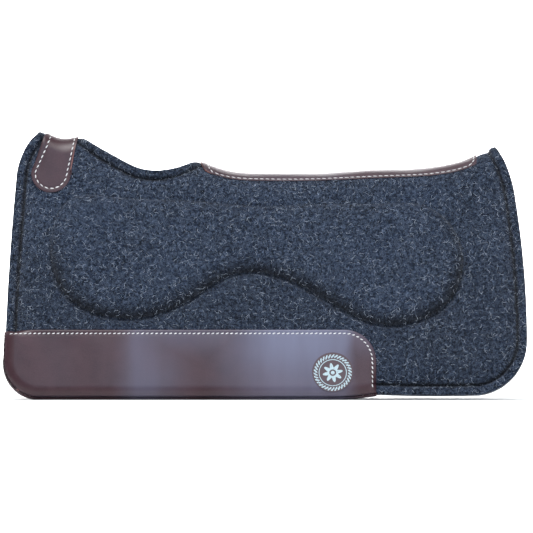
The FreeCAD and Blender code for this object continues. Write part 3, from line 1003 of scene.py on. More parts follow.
class Kit:
    """Adds nodes to one tree."""

    def __init__(self, tree: bpy.types.NodeTree) -> None:
        """Keeps the tree that nodes are added to."""
        self.tree = tree

    def add(self, kind: str, settings: dict | None = None, values: dict | None = None) -> bpy.types.Node:
        """Adds a node.

        Args:
            kind: the node's type.
            settings: properties, set first.
            values: what goes into its sockets, by identifier, name or number.

        Returns:
            The node.
        """
        node = self.tree.nodes.new(kind)
        for key, value in (settings or {}).items():
            setattr(node, key, value)
        for key, value in (values or {}).items():
            socket = node.inputs[key] if isinstance(key, int) else next(
                (s for s in node.inputs if s.identifier == key),
                None) or next(s for s in node.inputs if s.name == key and s.enabled)
            source = value.socket if isinstance(value, Wire) else value
            if isinstance(source, bpy.types.NodeSocket):
                self.tree.links.new(source, socket)
            else:
                socket.default_value = source
        return node

    def mix(self, factor: object, first: object, second: object) -> Wire:
        """Colour between two colours.

        Args:
            factor: share of the second colour.
            first: first colour.
            second: second colour.

        Returns:
            The colour.
        """
        node = self.add("ShaderNodeMix", {"data_type": "RGBA"}, {
            "Factor_Float": factor, "A_Color": first, "B_Color": second})
        return Wire(self, next(s for s in node.outputs if s.identifier == "Result_Color"))

    def coords(self) -> Wire:
        """Object coordinates."""
        return Wire(self, self.add("ShaderNodeTexCoord").outputs["Object"])

    def cloth_map(self) -> Wire:
        """Place on the flat cloth."""
        return Wire(self, self.add("ShaderNodeUVMap", {"uv_map": CLOTH_MAP}).outputs["UV"])

    def attribute(self, name: str) -> Wire:
        """Value stored on the mesh."""
        return Wire(self, self.add("ShaderNodeAttribute", {"attribute_name": name}).outputs["Fac"])

    def moved(self, vector: Wire, offset: tuple) -> Wire:
        """Coordinates shifted by a fixed amount."""
        node = self.add("ShaderNodeVectorMath", {"operation": "ADD"}, {0: vector, 1: offset})
        return Wire(self, node.outputs[0])

    def noise(self, vector: Wire, scale: float, detail: float = 2.0, distortion: float = 0.0,
              offset: tuple = (0, 0, 0)) -> Wire:
        """Noise texture.

        Args:
            vector: coordinates.
            scale: scale of the pattern.
            detail: octaves of detail.
            distortion: how far the pattern is stirred.
            offset: shift of the coordinates.

        Returns:
            The noise, from 0 to 1.
        """
        where = self.moved(vector, offset) if any(offset) else vector
        node = self.add("ShaderNodeTexNoise", None, {
            "Vector": where, "Scale": scale, "Detail": detail, "Roughness": 0.55, "Distortion": distortion})
        return Wire(self, node.outputs[0])

    def bump(self, height: Wire, distance: float, strength: float = 1.0) -> Wire:
        """Bump normal."""
        values = {"Height": height, "Distance": distance, "Strength": strength}
        return Wire(self, self.add("ShaderNodeBump", None, values).outputs[0])


def size_tree(name: str, sizes: tuple[str, ...]) -> tuple[Kit, bpy.types.Node]:
    """Starts a Geometry Nodes tree with inputs for its sizes, seed and material.

    Args:
        name: name of the tree.
        sizes: names of its size inputs.

    Returns:
        A kit for the tree, and its input node.
    """
    tree = bpy.data.node_groups.new(name, "GeometryNodeTree")
    inputs = [("Geometry", "Geometry"), *((size, "Float") for size in sizes),
              ("Seed", "Int"), ("Material", "Material")]
    for label, kind in inputs:
        tree.interface.new_socket(label, in_out="INPUT", socket_type=f"NodeSocket{kind}")
    tree.interface.new_socket("Geometry", in_out="OUTPUT", socket_type="NodeSocketGeometry")
    kit = Kit(tree)
    return kit, kit.add("NodeGroupInput")


def grown(piece: bpy.types.Object, tree: bpy.types.NodeTree, inputs: dict) -> bpy.types.Object:
    """Runs a Geometry Nodes tree on a piece and makes the result plain mesh.

    Args:
        piece: object that the tree works on.
        tree: the tree.
        inputs: value of each named input.

    Returns:
        The same object with its new mesh.
    """
    modifier = piece.modifiers.new(tree.name, "NODES")
    modifier.node_group = tree
    for item in tree.interface.items_tree:
        if item.in_out == "INPUT" and item.name in inputs:
            modifier[item.identifier] = inputs[item.name]
    return applied(piece)


# ---------------------------------------------------------------- finishes
@dataclass(frozen=True)
class Finish:
    """A finish: its name and how its material is dressed."""

    name: str

    def material(self) -> bpy.types.Material:
        """The finish's material, made once.

        Returns:
            The material.
        """
        known = bpy.data.materials.get(self.name)
        if known:
            return known
        made = bpy.data.materials.new(self.name)
        made.use_nodes = True
        made.node_tree.nodes.clear()
        kit = Kit(made.node_tree)
        shader = kit.add("ShaderNodeBsdfPrincipled")
        kit.add("ShaderNodeOutputMaterial", None, {"Surface": shader.outputs[0]})
        self.dress(kit, shader)
        return made

    def dress(self, kit: Kit, shader: bpy.types.Node) -> None:
        """Sets up the shader."""
        raise NotImplementedError

    def feed(self, kit: Kit, shader: bpy.types.Node, **values: object) -> None:
        """Puts values or wires into the shader's sockets.

        Args:
            kit: kit of the material.
            shader: the surface shader.
            values: socket names, with spaces written as underscores, and what goes in.
        """
        for key, value in values.items():
            socket = shader.inputs[key.replace("_", " ")]
            if isinstance(value, Wire):
                kit.tree.links.new(value.socket, socket)
            else:
                socket.default_value = value


@dataclass(frozen=True)
class HeatheredFelt(Finish):
    """Dark wool felt with short curly strands of lighter wool."""

    dark: tuple = tint(5, 8, 14)
    body: tuple = tint(32, 43, 62)
    strand: tuple = tint(108, 124, 150)
    # Colour of the painted shade in the grooves and below the bar panel.
    seam: tuple = tint(8, 10, 15)

    def strands(self, kit: Kit, vector: Wire, scale: float, width: float, offset: tuple) -> Wire:
        """Short curved lines: level lines of a noise, broken by another noise.

        Args:
            kit: adds nodes to the material.
            vector: coordinates.
            scale: scale of the lines.
            width: how wide the lines are.
            offset: shift that makes each layer differ.

        Returns:
            From 0 beside the lines to 1 on them.
        """
        line = (kit.noise(vector, scale, 1.0, 1.4, offset) - 0.5).absolute().rise(0.0, width, 1.0, 0.0)
        broken = kit.noise(vector, scale * 0.8, 0.0, 0.0, (offset[1], offset[0], 0.3)).rise(0.46, 0.54)
        return line * broken

    def dress(self, kit: Kit, shader: bpy.types.Node) -> None:
        """Mixes dark ground, speckles and pale strands, with painted shade in the rim groove, round the bar
        panel and below it.

        Args:
            kit: adds nodes to the material.
            shader: the surface shader.
        """
        cloth = kit.cloth_map()
        wide = kit.noise(cloth, 9.0, 3.0)
        cloud = kit.noise(cloth, 150.0, 3.0, 0.5, (0.4, 0.1, 0))
        worms = self.strands(kit, cloth, 230.0, 0.035, (0.7, 0.2, 0)).at_least(
            self.strands(kit, cloth, 310.0, 0.05, (1.9, 2.4, 0)) * 0.75).at_least(
            self.strands(kit, cloth, 460.0, 0.06, (3.1, 0.6, 0)) * 0.5)
        fuzz = kit.noise(cloth, 900.0, 2.0, 0.6)
        speckle = kit.noise(cloth, 470.0, 2.0, 0.8)
        patches = cloud * 0.35 + speckle * 1.1 + wide * 0.2 - 0.325
        ground = kit.mix(patches.rise(0.36, 0.68), self.dark, self.body)
        woolly = kit.mix(worms * (fuzz * 0.6 + 0.45), ground, self.strand)
        # Painted shade: the stored amount mixes the felt towards the seam colour, which is the painted shade
        # colour.
        painted_shade = kit.attribute(SHADE_ATTRIBUTE)
        height = worms * 0.55 + fuzz * 0.35 + cloud * 0.3
        self.feed(kit, shader, Base_Color=kit.mix(painted_shade * 0.92, woolly, self.seam),
                  Roughness=0.96, Sheen_Weight=0.1, Sheen_Roughness=0.5,
                  Specular_IOR_Level=0.12, Normal=kit.bump(height, 0.0009, 0.9))


@dataclass(frozen=True)
class PlainFelt(Finish):
    """Plainer felt on the horse's side."""

    low: tuple = tint(36, 42, 56)
    high: tuple = tint(70, 78, 94)

    def dress(self, kit: Kit, shader: bpy.types.Node) -> None:
        """Mixes two close greys with a soft fuzz.

        Args:
            kit: adds nodes to the material.
            shader: the surface shader.
        """
        cloth = kit.cloth_map()
        cloud = kit.noise(cloth, 60.0, 4.0, 0.6)
        fuzz = kit.noise(cloth, 700.0, 2.0, 1.2)
        shade = (cloud * 0.5 + fuzz * 0.7 - 0.1).rise(0.2, 0.8)
        self.feed(kit, shader, Base_Color=kit.mix(shade, self.low, self.high), Roughness=0.97,
                  Sheen_Weight=0.25, Specular_IOR_Level=0.12, Normal=kit.bump(fuzz + cloud, 0.0006, 0.7))


@dataclass(frozen=True)
class SatinLeather(Finish):
    """Dark oiled leather with a fine grain, and a pale bluish painted reflection of the studio light in
    upright bands on the flanks.
    """

    low: tuple = tint(43, 22, 28)
    high: tuple = tint(64, 40, 47)
    # Colour of the painted reflection of the bluish studio light.
    reflection_tint: tuple = tint(98, 99, 120)
    gloss: float = 0.36
    streak_stretch: tuple = (1.0, 0.25, 0.12)

    def dress(self, kit: Kit, shader: bpy.types.Node) -> None:
        """Mixes the browns and the grain, and paints the reflection in upright bands.

        Args:
            kit: adds nodes to the material.
            shader: the surface shader.
        """
        place = kit.coords()
        cloud = kit.noise(place, 22.0, 4.0, 0.4)
        grain = kit.noise(place, 620.0, 3.0, 0.3)
        cells = kit.add("ShaderNodeTexVoronoi", {"feature": "DISTANCE_TO_EDGE"}, {
            "Vector": place, "Scale": 520.0})
        creases = Wire(kit, cells.outputs["Distance"]).rise(0.0, 0.22)
        shade = (cloud * 0.5 + grain * 0.4 + 0.05).rise(0.25, 0.75)
        rough = cloud.rise(0.3, 0.7, self.gloss - 0.02, self.gloss + 0.04)
        parts = kit.add("ShaderNodeSeparateXYZ", None, {0: place})
        along, up = Wire(kit, parts.outputs["X"]), Wire(kit, parts.outputs["Z"])
        # Painted reflection: upright bands on the flanks where the leather's slow waves would mirror the
        # studio light, one in the middle of the flank and a weaker one towards the front, broken by stretched
        # streaks and mostly kept off the ridge.
        stretched = kit.add("ShaderNodeVectorMath", {"operation": "MULTIPLY"}, {
            0: place, 1: self.streak_stretch})
        streaks = kit.noise(Wire(kit, stretched.outputs[0]), 34.0, 3.0)
        wander = along + (kit.noise(place, 9.0, 2.0) - 0.5) * 0.05
        middle = (wander.rise(-0.1, 0.02) * wander.rise(0.112, 0.15, 1.0, 0.0)
                  * up.rise(0.02, 0.09, 0.5, 0.88))
        front = (wander.rise(-0.235, -0.19)
                 * wander.rise(-0.2, -0.1, 1.0, 0.0).at_least(up.rise(0.05, 0.1) * 0.7) * 0.4)
        reflection_bands = middle.at_least(front) * (streaks * 0.6 + 0.7) * up.rise(0.13, 0.2, 1.0, 0.12)
        with_reflection = kit.mix(reflection_bands.at_most(1.0), kit.mix(shade, self.low, self.high), self.reflection_tint)
        self.feed(kit, shader, Base_Color=with_reflection, Roughness=rough, Specular_IOR_Level=0.4,
                  Normal=kit.bump(creases * 0.5 + grain * 0.5, 0.00012, 0.6))


@dataclass(frozen=True)
class Mottled(Finish):
    """Two close colours mixed by a fine noise, which also roughens it; the sizes are those of thread."""

    low: tuple
    high: tuple
    scale: float = 1400.0
    detail: float = 1.0
    distortion: float = 0.8
    spread: float = 0.15
    roughness: float = 0.7
    bump: tuple = (0.0002, 0.5)

    def dress(self, kit: Kit, shader: bpy.types.Node) -> None:
        """Mixes the two colours.

        Args:
            kit: adds nodes to the material.
            shader: the surface shader.
        """
        noise = kit.noise(kit.coords(), self.scale, self.detail, self.distortion)
        colour = kit.mix(noise.rise(0.5 - self.spread, 0.5 + self.spread), self.low, self.high)
        self.feed(kit, shader, Base_Color=colour, Roughness=self.roughness,
                  Normal=kit.bump(noise, *self.bump))


@dataclass(frozen=True)
class PressedBadge(Finish):
    """Silvery printed mark on leather: a wreath of short strokes round a ring and a small rosette."""

    bright: tuple = tint(170, 190, 196)
    ground: tuple = tint(66, 44, 48)
    middle: tuple = (0.1005, 0.040)
    lean: float = math.radians(18)
    strokes: float = 34.0
    petals: float = 8.0

    def dress(self, kit: Kit, shader: bpy.types.Node) -> None:
        """Draws the wreath, the rings and the rosette round the mark's middle.

        Args:
            kit: adds nodes to the material.
            shader: the surface shader.
        """
        place = kit.coords()
        parts = kit.add("ShaderNodeSeparateXYZ", None, {0: place})
        across = Wire(kit, parts.outputs["X"]) - self.middle[0]
        up = (Wire(kit, parts.outputs["Z"]) - self.middle[1]) / math.cos(self.lean)
        flat = kit.add("ShaderNodeCombineXYZ", None, {"X": across, "Y": up})
        reach = Wire(kit, kit.add("ShaderNodeVectorMath", {"operation": "LENGTH"}, {
            0: flat.outputs[0]}).outputs["Value"])
        turn = up.around(across)
        leaf = (turn * self.strokes + reach * 900.0).sine().rise(-0.2, 0.35)
        wreath = leaf * self.band(reach, 0.0232, 0.0287)
        rings = self.band(reach, 0.0200, 0.0212).at_least(self.band(reach, 0.0255, 0.0262) * 0.9)
        petal = (turn * self.petals).sine() * 0.0035 + 0.0118
        rosette = (petal - reach).rise(-0.0002, 0.0004) * self.band(reach, 0.0052, 0.02)
        dot = reach.rise(0.0026, 0.0031, 1.0, 0.0)
        worn = kit.noise(place, 700.0, 3.0, 0.4).rise(0.3, 0.42)
        mark = wreath.at_least(rings).at_least(rosette).at_least(dot) * worn
        self.feed(kit, shader, Base_Color=kit.mix(mark, self.ground, self.bright),
                  Roughness=mark.rise(0.0, 1.0, 0.36, 0.5), Normal=kit.bump(mark, 0.0002, 0.4))

    def band(self, reach: Wire, low: float, high: float) -> Wire:
        """One between two radii, soft at its edges."""
        soft = 0.0003
        return reach.rise(low - soft, low + soft) * reach.rise(high - soft, high + soft, 1.0, 0.0)


FELT = HeatheredFelt("heathered_felt")
INNER_FELT = PlainFelt("plain_felt")
LEATHER = SatinLeather("satin_leather")
CUT_EDGE = Mottled("cut_leather", tint(96, 58, 56), tint(150, 104, 98), scale=260.0, detail=3.0,
                   distortion=0.5, spread=0.2, roughness=0.62, bump=(0.0002, 0.6))
WHITE_THREAD = Mottled("white_thread", tint(176, 176, 178), tint(240, 240, 238))
DARK_THREAD = Mottled("dark_thread", tint(10, 12, 18), tint(26, 31, 42))
FOAM = Mottled("closed_foam", tint(96, 98, 104), tint(132, 134, 140), scale=420.0, detail=2.0,
               distortion=0.0, spread=0.2, roughness=0.9, bump=(0.0004, 0.6))
BADGE = PressedBadge("pressed_badge")
WOOL = Mottled("pale_wool", tint(84, 96, 116), tint(200, 210, 224))
TAPE = PlainFelt("woven_tape", tint(22, 24, 30), tint(44, 48, 56))


# ---------------------------------------------------------------- seams
@dataclass
class StitchSizes:
    """Sizes of one kind of stitch."""

    pitch: float = 0.0071
    length: float = 0.0053
    width: float = 0.0019
    height: float = 0.0012
    slant: float = math.radians(-20)


class StitchMaker:
    """Geometry Nodes tree that puts a short rounded stitch on every point of a row."""

    LOOSENESS = math.radians(4)

    def __init__(self) -> None:
        """Builds the tree once for all seams."""
        self.tree = self._build()

    def _build(self) -> bpy.types.NodeTree:
        """Builds the tree: instances on points, turned by each point's own angle, then made real.

        Returns:
            The tree.
        """
        kit, group = size_tree("stitch_rows", ("Length", "Width", "Height", "Looseness"))
        size = kit.add("ShaderNodeCombineXYZ", None, {
            "X": group.outputs["Length"], "Y": group.outputs["Width"], "Z": group.outputs["Height"]})
        bead = kit.add("GeometryNodeMeshUVSphere", None, {"Segments": 8, "Rings": 5, "Radius": 0.5})
        turn = kit.add("GeometryNodeInputNamedAttribute", {"data_type": "FLOAT_VECTOR"}, {"Name": "turn"})
        vary = kit.add("FunctionNodeRandomValue", {"data_type": "FLOAT"}, {
            "Min_001": -1.0, "Max_001": 1.0, "Seed": group.outputs["Seed"]})
        loose = kit.add("ShaderNodeMath", {"operation": "MULTIPLY"}, {
            0: next(s for s in vary.outputs if s.enabled), 1: group.outputs["Looseness"]})
        instances = kit.add("GeometryNodeInstanceOnPoints", None, {
            "Points": group.outputs["Geometry"], "Instance": bead.outputs["Mesh"],
            "Rotation": next(s for s in turn.outputs if s.enabled), "Scale": size.outputs[0]})
        spin = kit.add("ShaderNodeCombineXYZ", None, {"Z": loose.outputs[0]})
        turned_more = kit.add("GeometryNodeRotateInstances", None, {
            "Instances": instances.outputs[0], "Rotation": spin.outputs[0]})
        real = kit.add("GeometryNodeRealizeInstances", None, {"Geometry": turned_more.outputs[0]})
        smooth_shade = kit.add("GeometryNodeSetShadeSmooth", None, {"Geometry": real.outputs[0]})
        dressed = kit.add("GeometryNodeSetMaterial", None, {
            "Geometry": smooth_shade.outputs[0], "Material": group.outputs["Material"]})
        kit.add("NodeGroupOutput", None, {0: dressed.outputs[0]})
        return kit.tree

    def row(self, name: str, places: np.ndarray, turns: np.ndarray, sizes: StitchSizes,
            finish: Finish, seed: int = 3) -> bpy.types.Object:
        """Makes one seam's stitches.

        Args:
            name: piece name.
            places: middle of each stitch.
            turns: Euler angles of each stitch.
            sizes: size of one stitch.
            finish: the thread.
            seed: seed of the small random turns.

        Returns:
            The stitches as one plain mesh.
        """
        mesh = bpy.data.meshes.new(name)
        mesh.from_pydata(places.tolist(), [], [])
        attribute = mesh.attributes.new("turn", "FLOAT_VECTOR", "POINT")
        attribute.data.foreach_set("vector", turns.astype(np.float32).ravel())
        piece = bpy.data.objects.new(name, mesh)
        bpy.context.scene.collection.objects.link(piece)
        return grown(piece, self.tree, {
            "Length": sizes.length, "Width": sizes.width, "Height": sizes.height,
            "Looseness": self.LOOSENESS, "Seed": seed, "Material": finish.material()})


class Seam:
    """Row of stitches along a path on the flat cloth."""

    REACH = 0.0012
    SUNK = 0.15

    def __init__(self, shape: PadShape, maker: StitchMaker, sizes: StitchSizes) -> None:
        """Keeps the pad's shape, the stitch maker and the stitch sizes."""
        self.shape, self.maker, self.sizes = shape, maker, sizes

    def frames(self, path: np.ndarray, depth: Profile, side: Side) -> tuple[np.ndarray, np.ndarray]:
        """Middle and turn of each stitch.

        Args:
            path: places on the flat cloth.
            depth: depth of the surface that the stitches lie on.
            side: side of the pad.

        Returns:
            Places and Euler angles.
        """
        middles = evenly(path, self.sizes.pitch)
        ahead = np.gradient(middles, axis=0)
        ahead /= np.linalg.norm(ahead, axis=1)[:, None]
        across = np.column_stack([-ahead[:, 1], ahead[:, 0]])
        level = depth(middles) - self.SUNK * self.sizes.height
        centre = self.shape.place(middles[:, 0], middles[:, 1], level, side)
        along = self._difference(middles, ahead, depth, side)
        sideways = self._difference(middles, across, depth, side)
        turns = []
        for a, s in zip(along, sideways):
            x_axis = Vector(a).normalized()
            z_axis = x_axis.cross(Vector(s)).normalized()
            slanted = (x_axis + math.tan(self.sizes.slant) * z_axis.cross(x_axis)).normalized()
            y_axis = z_axis.cross(slanted)
            turns.append(self._euler(slanted, y_axis, z_axis))
        return centre, np.array(turns)

    def _difference(self, middles: np.ndarray, direction: np.ndarray, depth: Profile,
                    side: Side) -> np.ndarray:
        """Direction in space of a direction on the flat cloth.

        Args:
            middles: places on the flat cloth.
            direction: step on the flat cloth, of length one.
            depth: depth of the surface.
            side: side of the pad.

        Returns:
            Direction of each place, not of length one.
        """
        ends = [self.shape.place(p[:, 0], p[:, 1], depth(p), side)
                for p in (middles - direction * self.REACH, middles + direction * self.REACH)]
        return ends[1] - ends[0]

    @staticmethod
    def _euler(x_axis: Vector, y_axis: Vector, z_axis: Vector) -> tuple[float, float, float]:
        """Angles that turn the world's axes into three given ones."""
        pitch = math.asin(max(-1.0, min(1.0, -x_axis.z)))
        return (math.atan2(y_axis.z, z_axis.z), pitch, math.atan2(x_axis.y, x_axis.x))

    def sew(self, name: str, paths: list[np.ndarray], depth: Profile, sides: list[Side],
            finish: Finish) -> bpy.types.Object:
        """Makes one piece from rows along several paths, on one side or both.

        Args:
            name: piece name.
            paths: lines on the flat cloth.
            depth: depth of the surface.
            sides: sides that are sewn.
            finish: the thread.

        Returns:
            The stitches as one mesh.
        """
        found = [self.frames(path, depth, side) for side in sides for path in paths]
        return self.maker.row(name, np.vstack([f[0] for f in found]), np.vstack([f[1] for f in found]),
                              self.sizes, finish)


@dataclass
class WoolStrands:
    """Short curled hairs of pale wool that lie on the felt, scattered by Geometry Nodes."""

    density: float = 15000.0
    thickness: float = 0.00018
    longest: float = 1.4
    shortest: float = 0.3
    lift: float = 0.00015

    @cached_property
    def tree(self) -> bpy.types.NodeTree:
        """Tree that scatters, turns and sizes the hairs, then makes them real.

        Returns:
            The tree.
        """
        kit, group = size_tree("wool_strands", ("Density", "Thickness", "Shortest", "Longest"))
        scatter = kit.add("GeometryNodeDistributePointsOnFaces", None, {
            "Mesh": group.outputs["Geometry"], "Density": group.outputs["Density"],
            "Seed": group.outputs["Seed"]})
        profile = kit.add("GeometryNodeCurvePrimitiveCircle", {"mode": "RADIUS"}, {
            "Resolution": 3, "Radius": group.outputs["Thickness"]})
        join = kit.add("GeometryNodeJoinGeometry")
        for bend, tip in ((0.0022, 0.0006), (-0.0012, 0.0016), (0.0004, -0.0009)):
            curl = kit.add("GeometryNodeCurveQuadraticBezier", None, {
                "Resolution": 4, "Start": (-0.0026, 0, 0), "Middle": (0.0004, bend, 0.0002),
                "End": (0.0024, tip, 0)})
            hair = kit.add("GeometryNodeCurveToMesh", None, {
                "Curve": curl.outputs[0], "Profile Curve": profile.outputs["Curve"], "Fill Caps": True})
            single = kit.add("GeometryNodeGeometryToInstance", None, {0: hair.outputs[0]})
            kit.tree.links.new(single.outputs[0], join.inputs[0])
        spin = kit.add("FunctionNodeRandomValue", {"data_type": "FLOAT"}, {
            "Min_001": 0.0, "Max_001": 2 * math.pi, "Seed": group.outputs["Seed"]})
        about = kit.add("ShaderNodeCombineXYZ", None, {"Z": next(s for s in spin.outputs if s.enabled)})
        turn = kit.add("FunctionNodeRotateRotation", {"rotation_space": "LOCAL"}, {
            "Rotation": scatter.outputs["Rotation"], "Rotate By": about.outputs[0]})
        size = kit.add("FunctionNodeRandomValue", {"data_type": "FLOAT"}, {
            "Min_001": group.outputs["Shortest"], "Max_001": group.outputs["Longest"], "Seed": 5})
        scale = next(s for s in size.outputs if s.enabled)
        long_way = kit.add("ShaderNodeCombineXYZ", None, {"X": scale, "Y": scale, "Z": 1.0})
        instances = kit.add("GeometryNodeInstanceOnPoints", None, {
            "Points": scatter.outputs["Points"], "Instance": join.outputs[0], "Pick Instance": True,
            "Rotation": turn.outputs[0], "Scale": long_way.outputs[0]})
        real = kit.add("GeometryNodeRealizeInstances", None, {"Geometry": instances.outputs[0]})
        dressed = kit.add("GeometryNodeSetMaterial", None, {
            "Geometry": real.outputs[0], "Material": group.outputs["Material"]})
        kit.add("NodeGroupOutput", None, {0: dressed.outputs[0]})
        return kit.tree

    def scatter(self, name: str, skin: bpy.types.Object, seed: int) -> bpy.types.Object:
        """Makes the hairs on one skin.

        Args:
            name: piece name.
            skin: mesh that they lie on, which is used up.
            seed: seed of their places.

        Returns:
            The hairs as one plain mesh.
        """
        skin.name = name
        return grown(skin, self.tree, {
            "Density": self.density, "Thickness": self.thickness, "Shortest": self.shortest,
            "Longest": self.longest, "Seed": seed, "Material": WOOL.material()})


# ---------------------------------------------------------------- the felts
@dataclass
class Felts:
    """Outer and inner felt of both sides, with the foam between them."""

    shape: PadShape
    relief: Relief
    skin_gap: float = 0.0001
    inner_round: float = 0.0022
    off_shift: float = 2.3

    @cached_property
    def outer_cloth(self) -> tuple[np.ndarray, np.ndarray, int]:
        """Triangles of the outer face."""
        places, faces, ring = FlatCloth(self.relief, self.shape.outline).triangles()
        return places, facing_outwards(places, faces), ring

    @cached_property
    def inner_cloth(self) -> tuple[np.ndarray, np.ndarray, int]:
        """Coarser triangles of the faces inside the pad."""
        places, faces, ring = FlatCloth(self.relief, self.shape.outline).triangles(detail=False)
        return places, facing_outwards(places, faces), ring

    def solid(self, name: str, side: Side, outer: tuple, outer_depth: np.ndarray, inner_depth: np.ndarray,
              painted_shade: np.ndarray | None = None) -> bpy.types.Object:
        """Closed felt between an outer and an inner face.

        Args:
            name: piece name.
            side: side of the pad.
            outer: places, triangles and ring length of the outer face.
            outer_depth: depth of each place of the outer face.
            inner_depth: depth of each place of the inner face.
            painted_shade: painted shade of each place of the outer face.

        Returns:
            The felt.
        """
        places, faces, ring = outer
        back_places, back_faces, _ = self.inner_cloth
        cloth, depth, skin = shell((places, faces, outer_depth), (back_places, back_faces, inner_depth),
                                   ring, places[:ring])
        verts = self.shape.place(cloth[:, 0], cloth[:, 1], depth, side)
        marks = None
        # Only the outer face carries the painted shade; the wall and the inner face get none.
        if painted_shade is not None:
            marks = np.zeros(len(cloth))
            marks[:len(painted_shade)] = painted_shade
        shift = np.array([0.0 if side is Side.NEAR else self.off_shift, 0.0])
        return make_piece(name, verts, turned(skin, side), cloth + shift, marks)

    def build(self) -> None:
        """Makes the four felts and dresses the foam inside them."""
        places, faces, _ = self.outer_cloth
        back = self.inner_cloth[0]
        face_depth, painted_shade = self.relief.depth(places), self.relief.painted_shade(places)
        strands = WoolStrands()
        shown = (self.relief.into_leather(places)[faces].max(axis=1) < 0.001)
        shown &= self.relief.from_edge(places)[0][faces].min(axis=1) > 0.0005
        core = self.shape.core_depth
        back_gap, _ = self.relief.from_edge(back)
        inner_rim = self.inner_round * (1 - cushion(back_gap / 0.0035))
        for side in Side:
            top = self.solid(f"{side.label}_outer_felt", side, self.outer_cloth, face_depth,
                             np.full(len(back), core - self.skin_gap), painted_shade)
            top.data.materials.append(FELT.material())
            low = self.solid(f"{side.label}_inner_felt", side, self.inner_cloth,
                             np.full(len(back), core + self.skin_gap), self.shape.pad_depth - inner_rim)
            low.data.materials.append(INNER_FELT.material())
            for piece, node, slot in ((top, "top_felt", "felt"), (low, "bottom_felt", "felt_inner")):
                over_ridge(piece)
                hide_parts(f"{side.label}_{node}")
                log.info("%s: %d faces", piece.name, len(piece.data.polygons))
            skin = make_piece("strand_skin", self.shape.place(
                places[:, 0], places[:, 1], face_depth - strands.lift, side),
                turned([tuple(f) for f in faces[shown].tolist()], side))
            hairs = strands.scatter(f"{side.label}_wool_strands", skin, 7 + side.value)
            over_ridge(hairs)
            log.info("%s: %d faces", hairs.name, len(hairs.data.polygons))
            for node in ("core_foam", "bar_pad"):
                dress_node(f"{side.label}_{node}", FOAM)


def dress_node(name: str, finish: Finish) -> None:
    """Gives a carried-over CAD node its finish.

    Args:
        name: name of the node.
        finish: its finish.
    """
    node = bpy.data.objects[name]
    node.data.materials.clear()
    node.data.materials.append(finish.material())
    log.info("%s: CAD node in %s", name, finish.name)


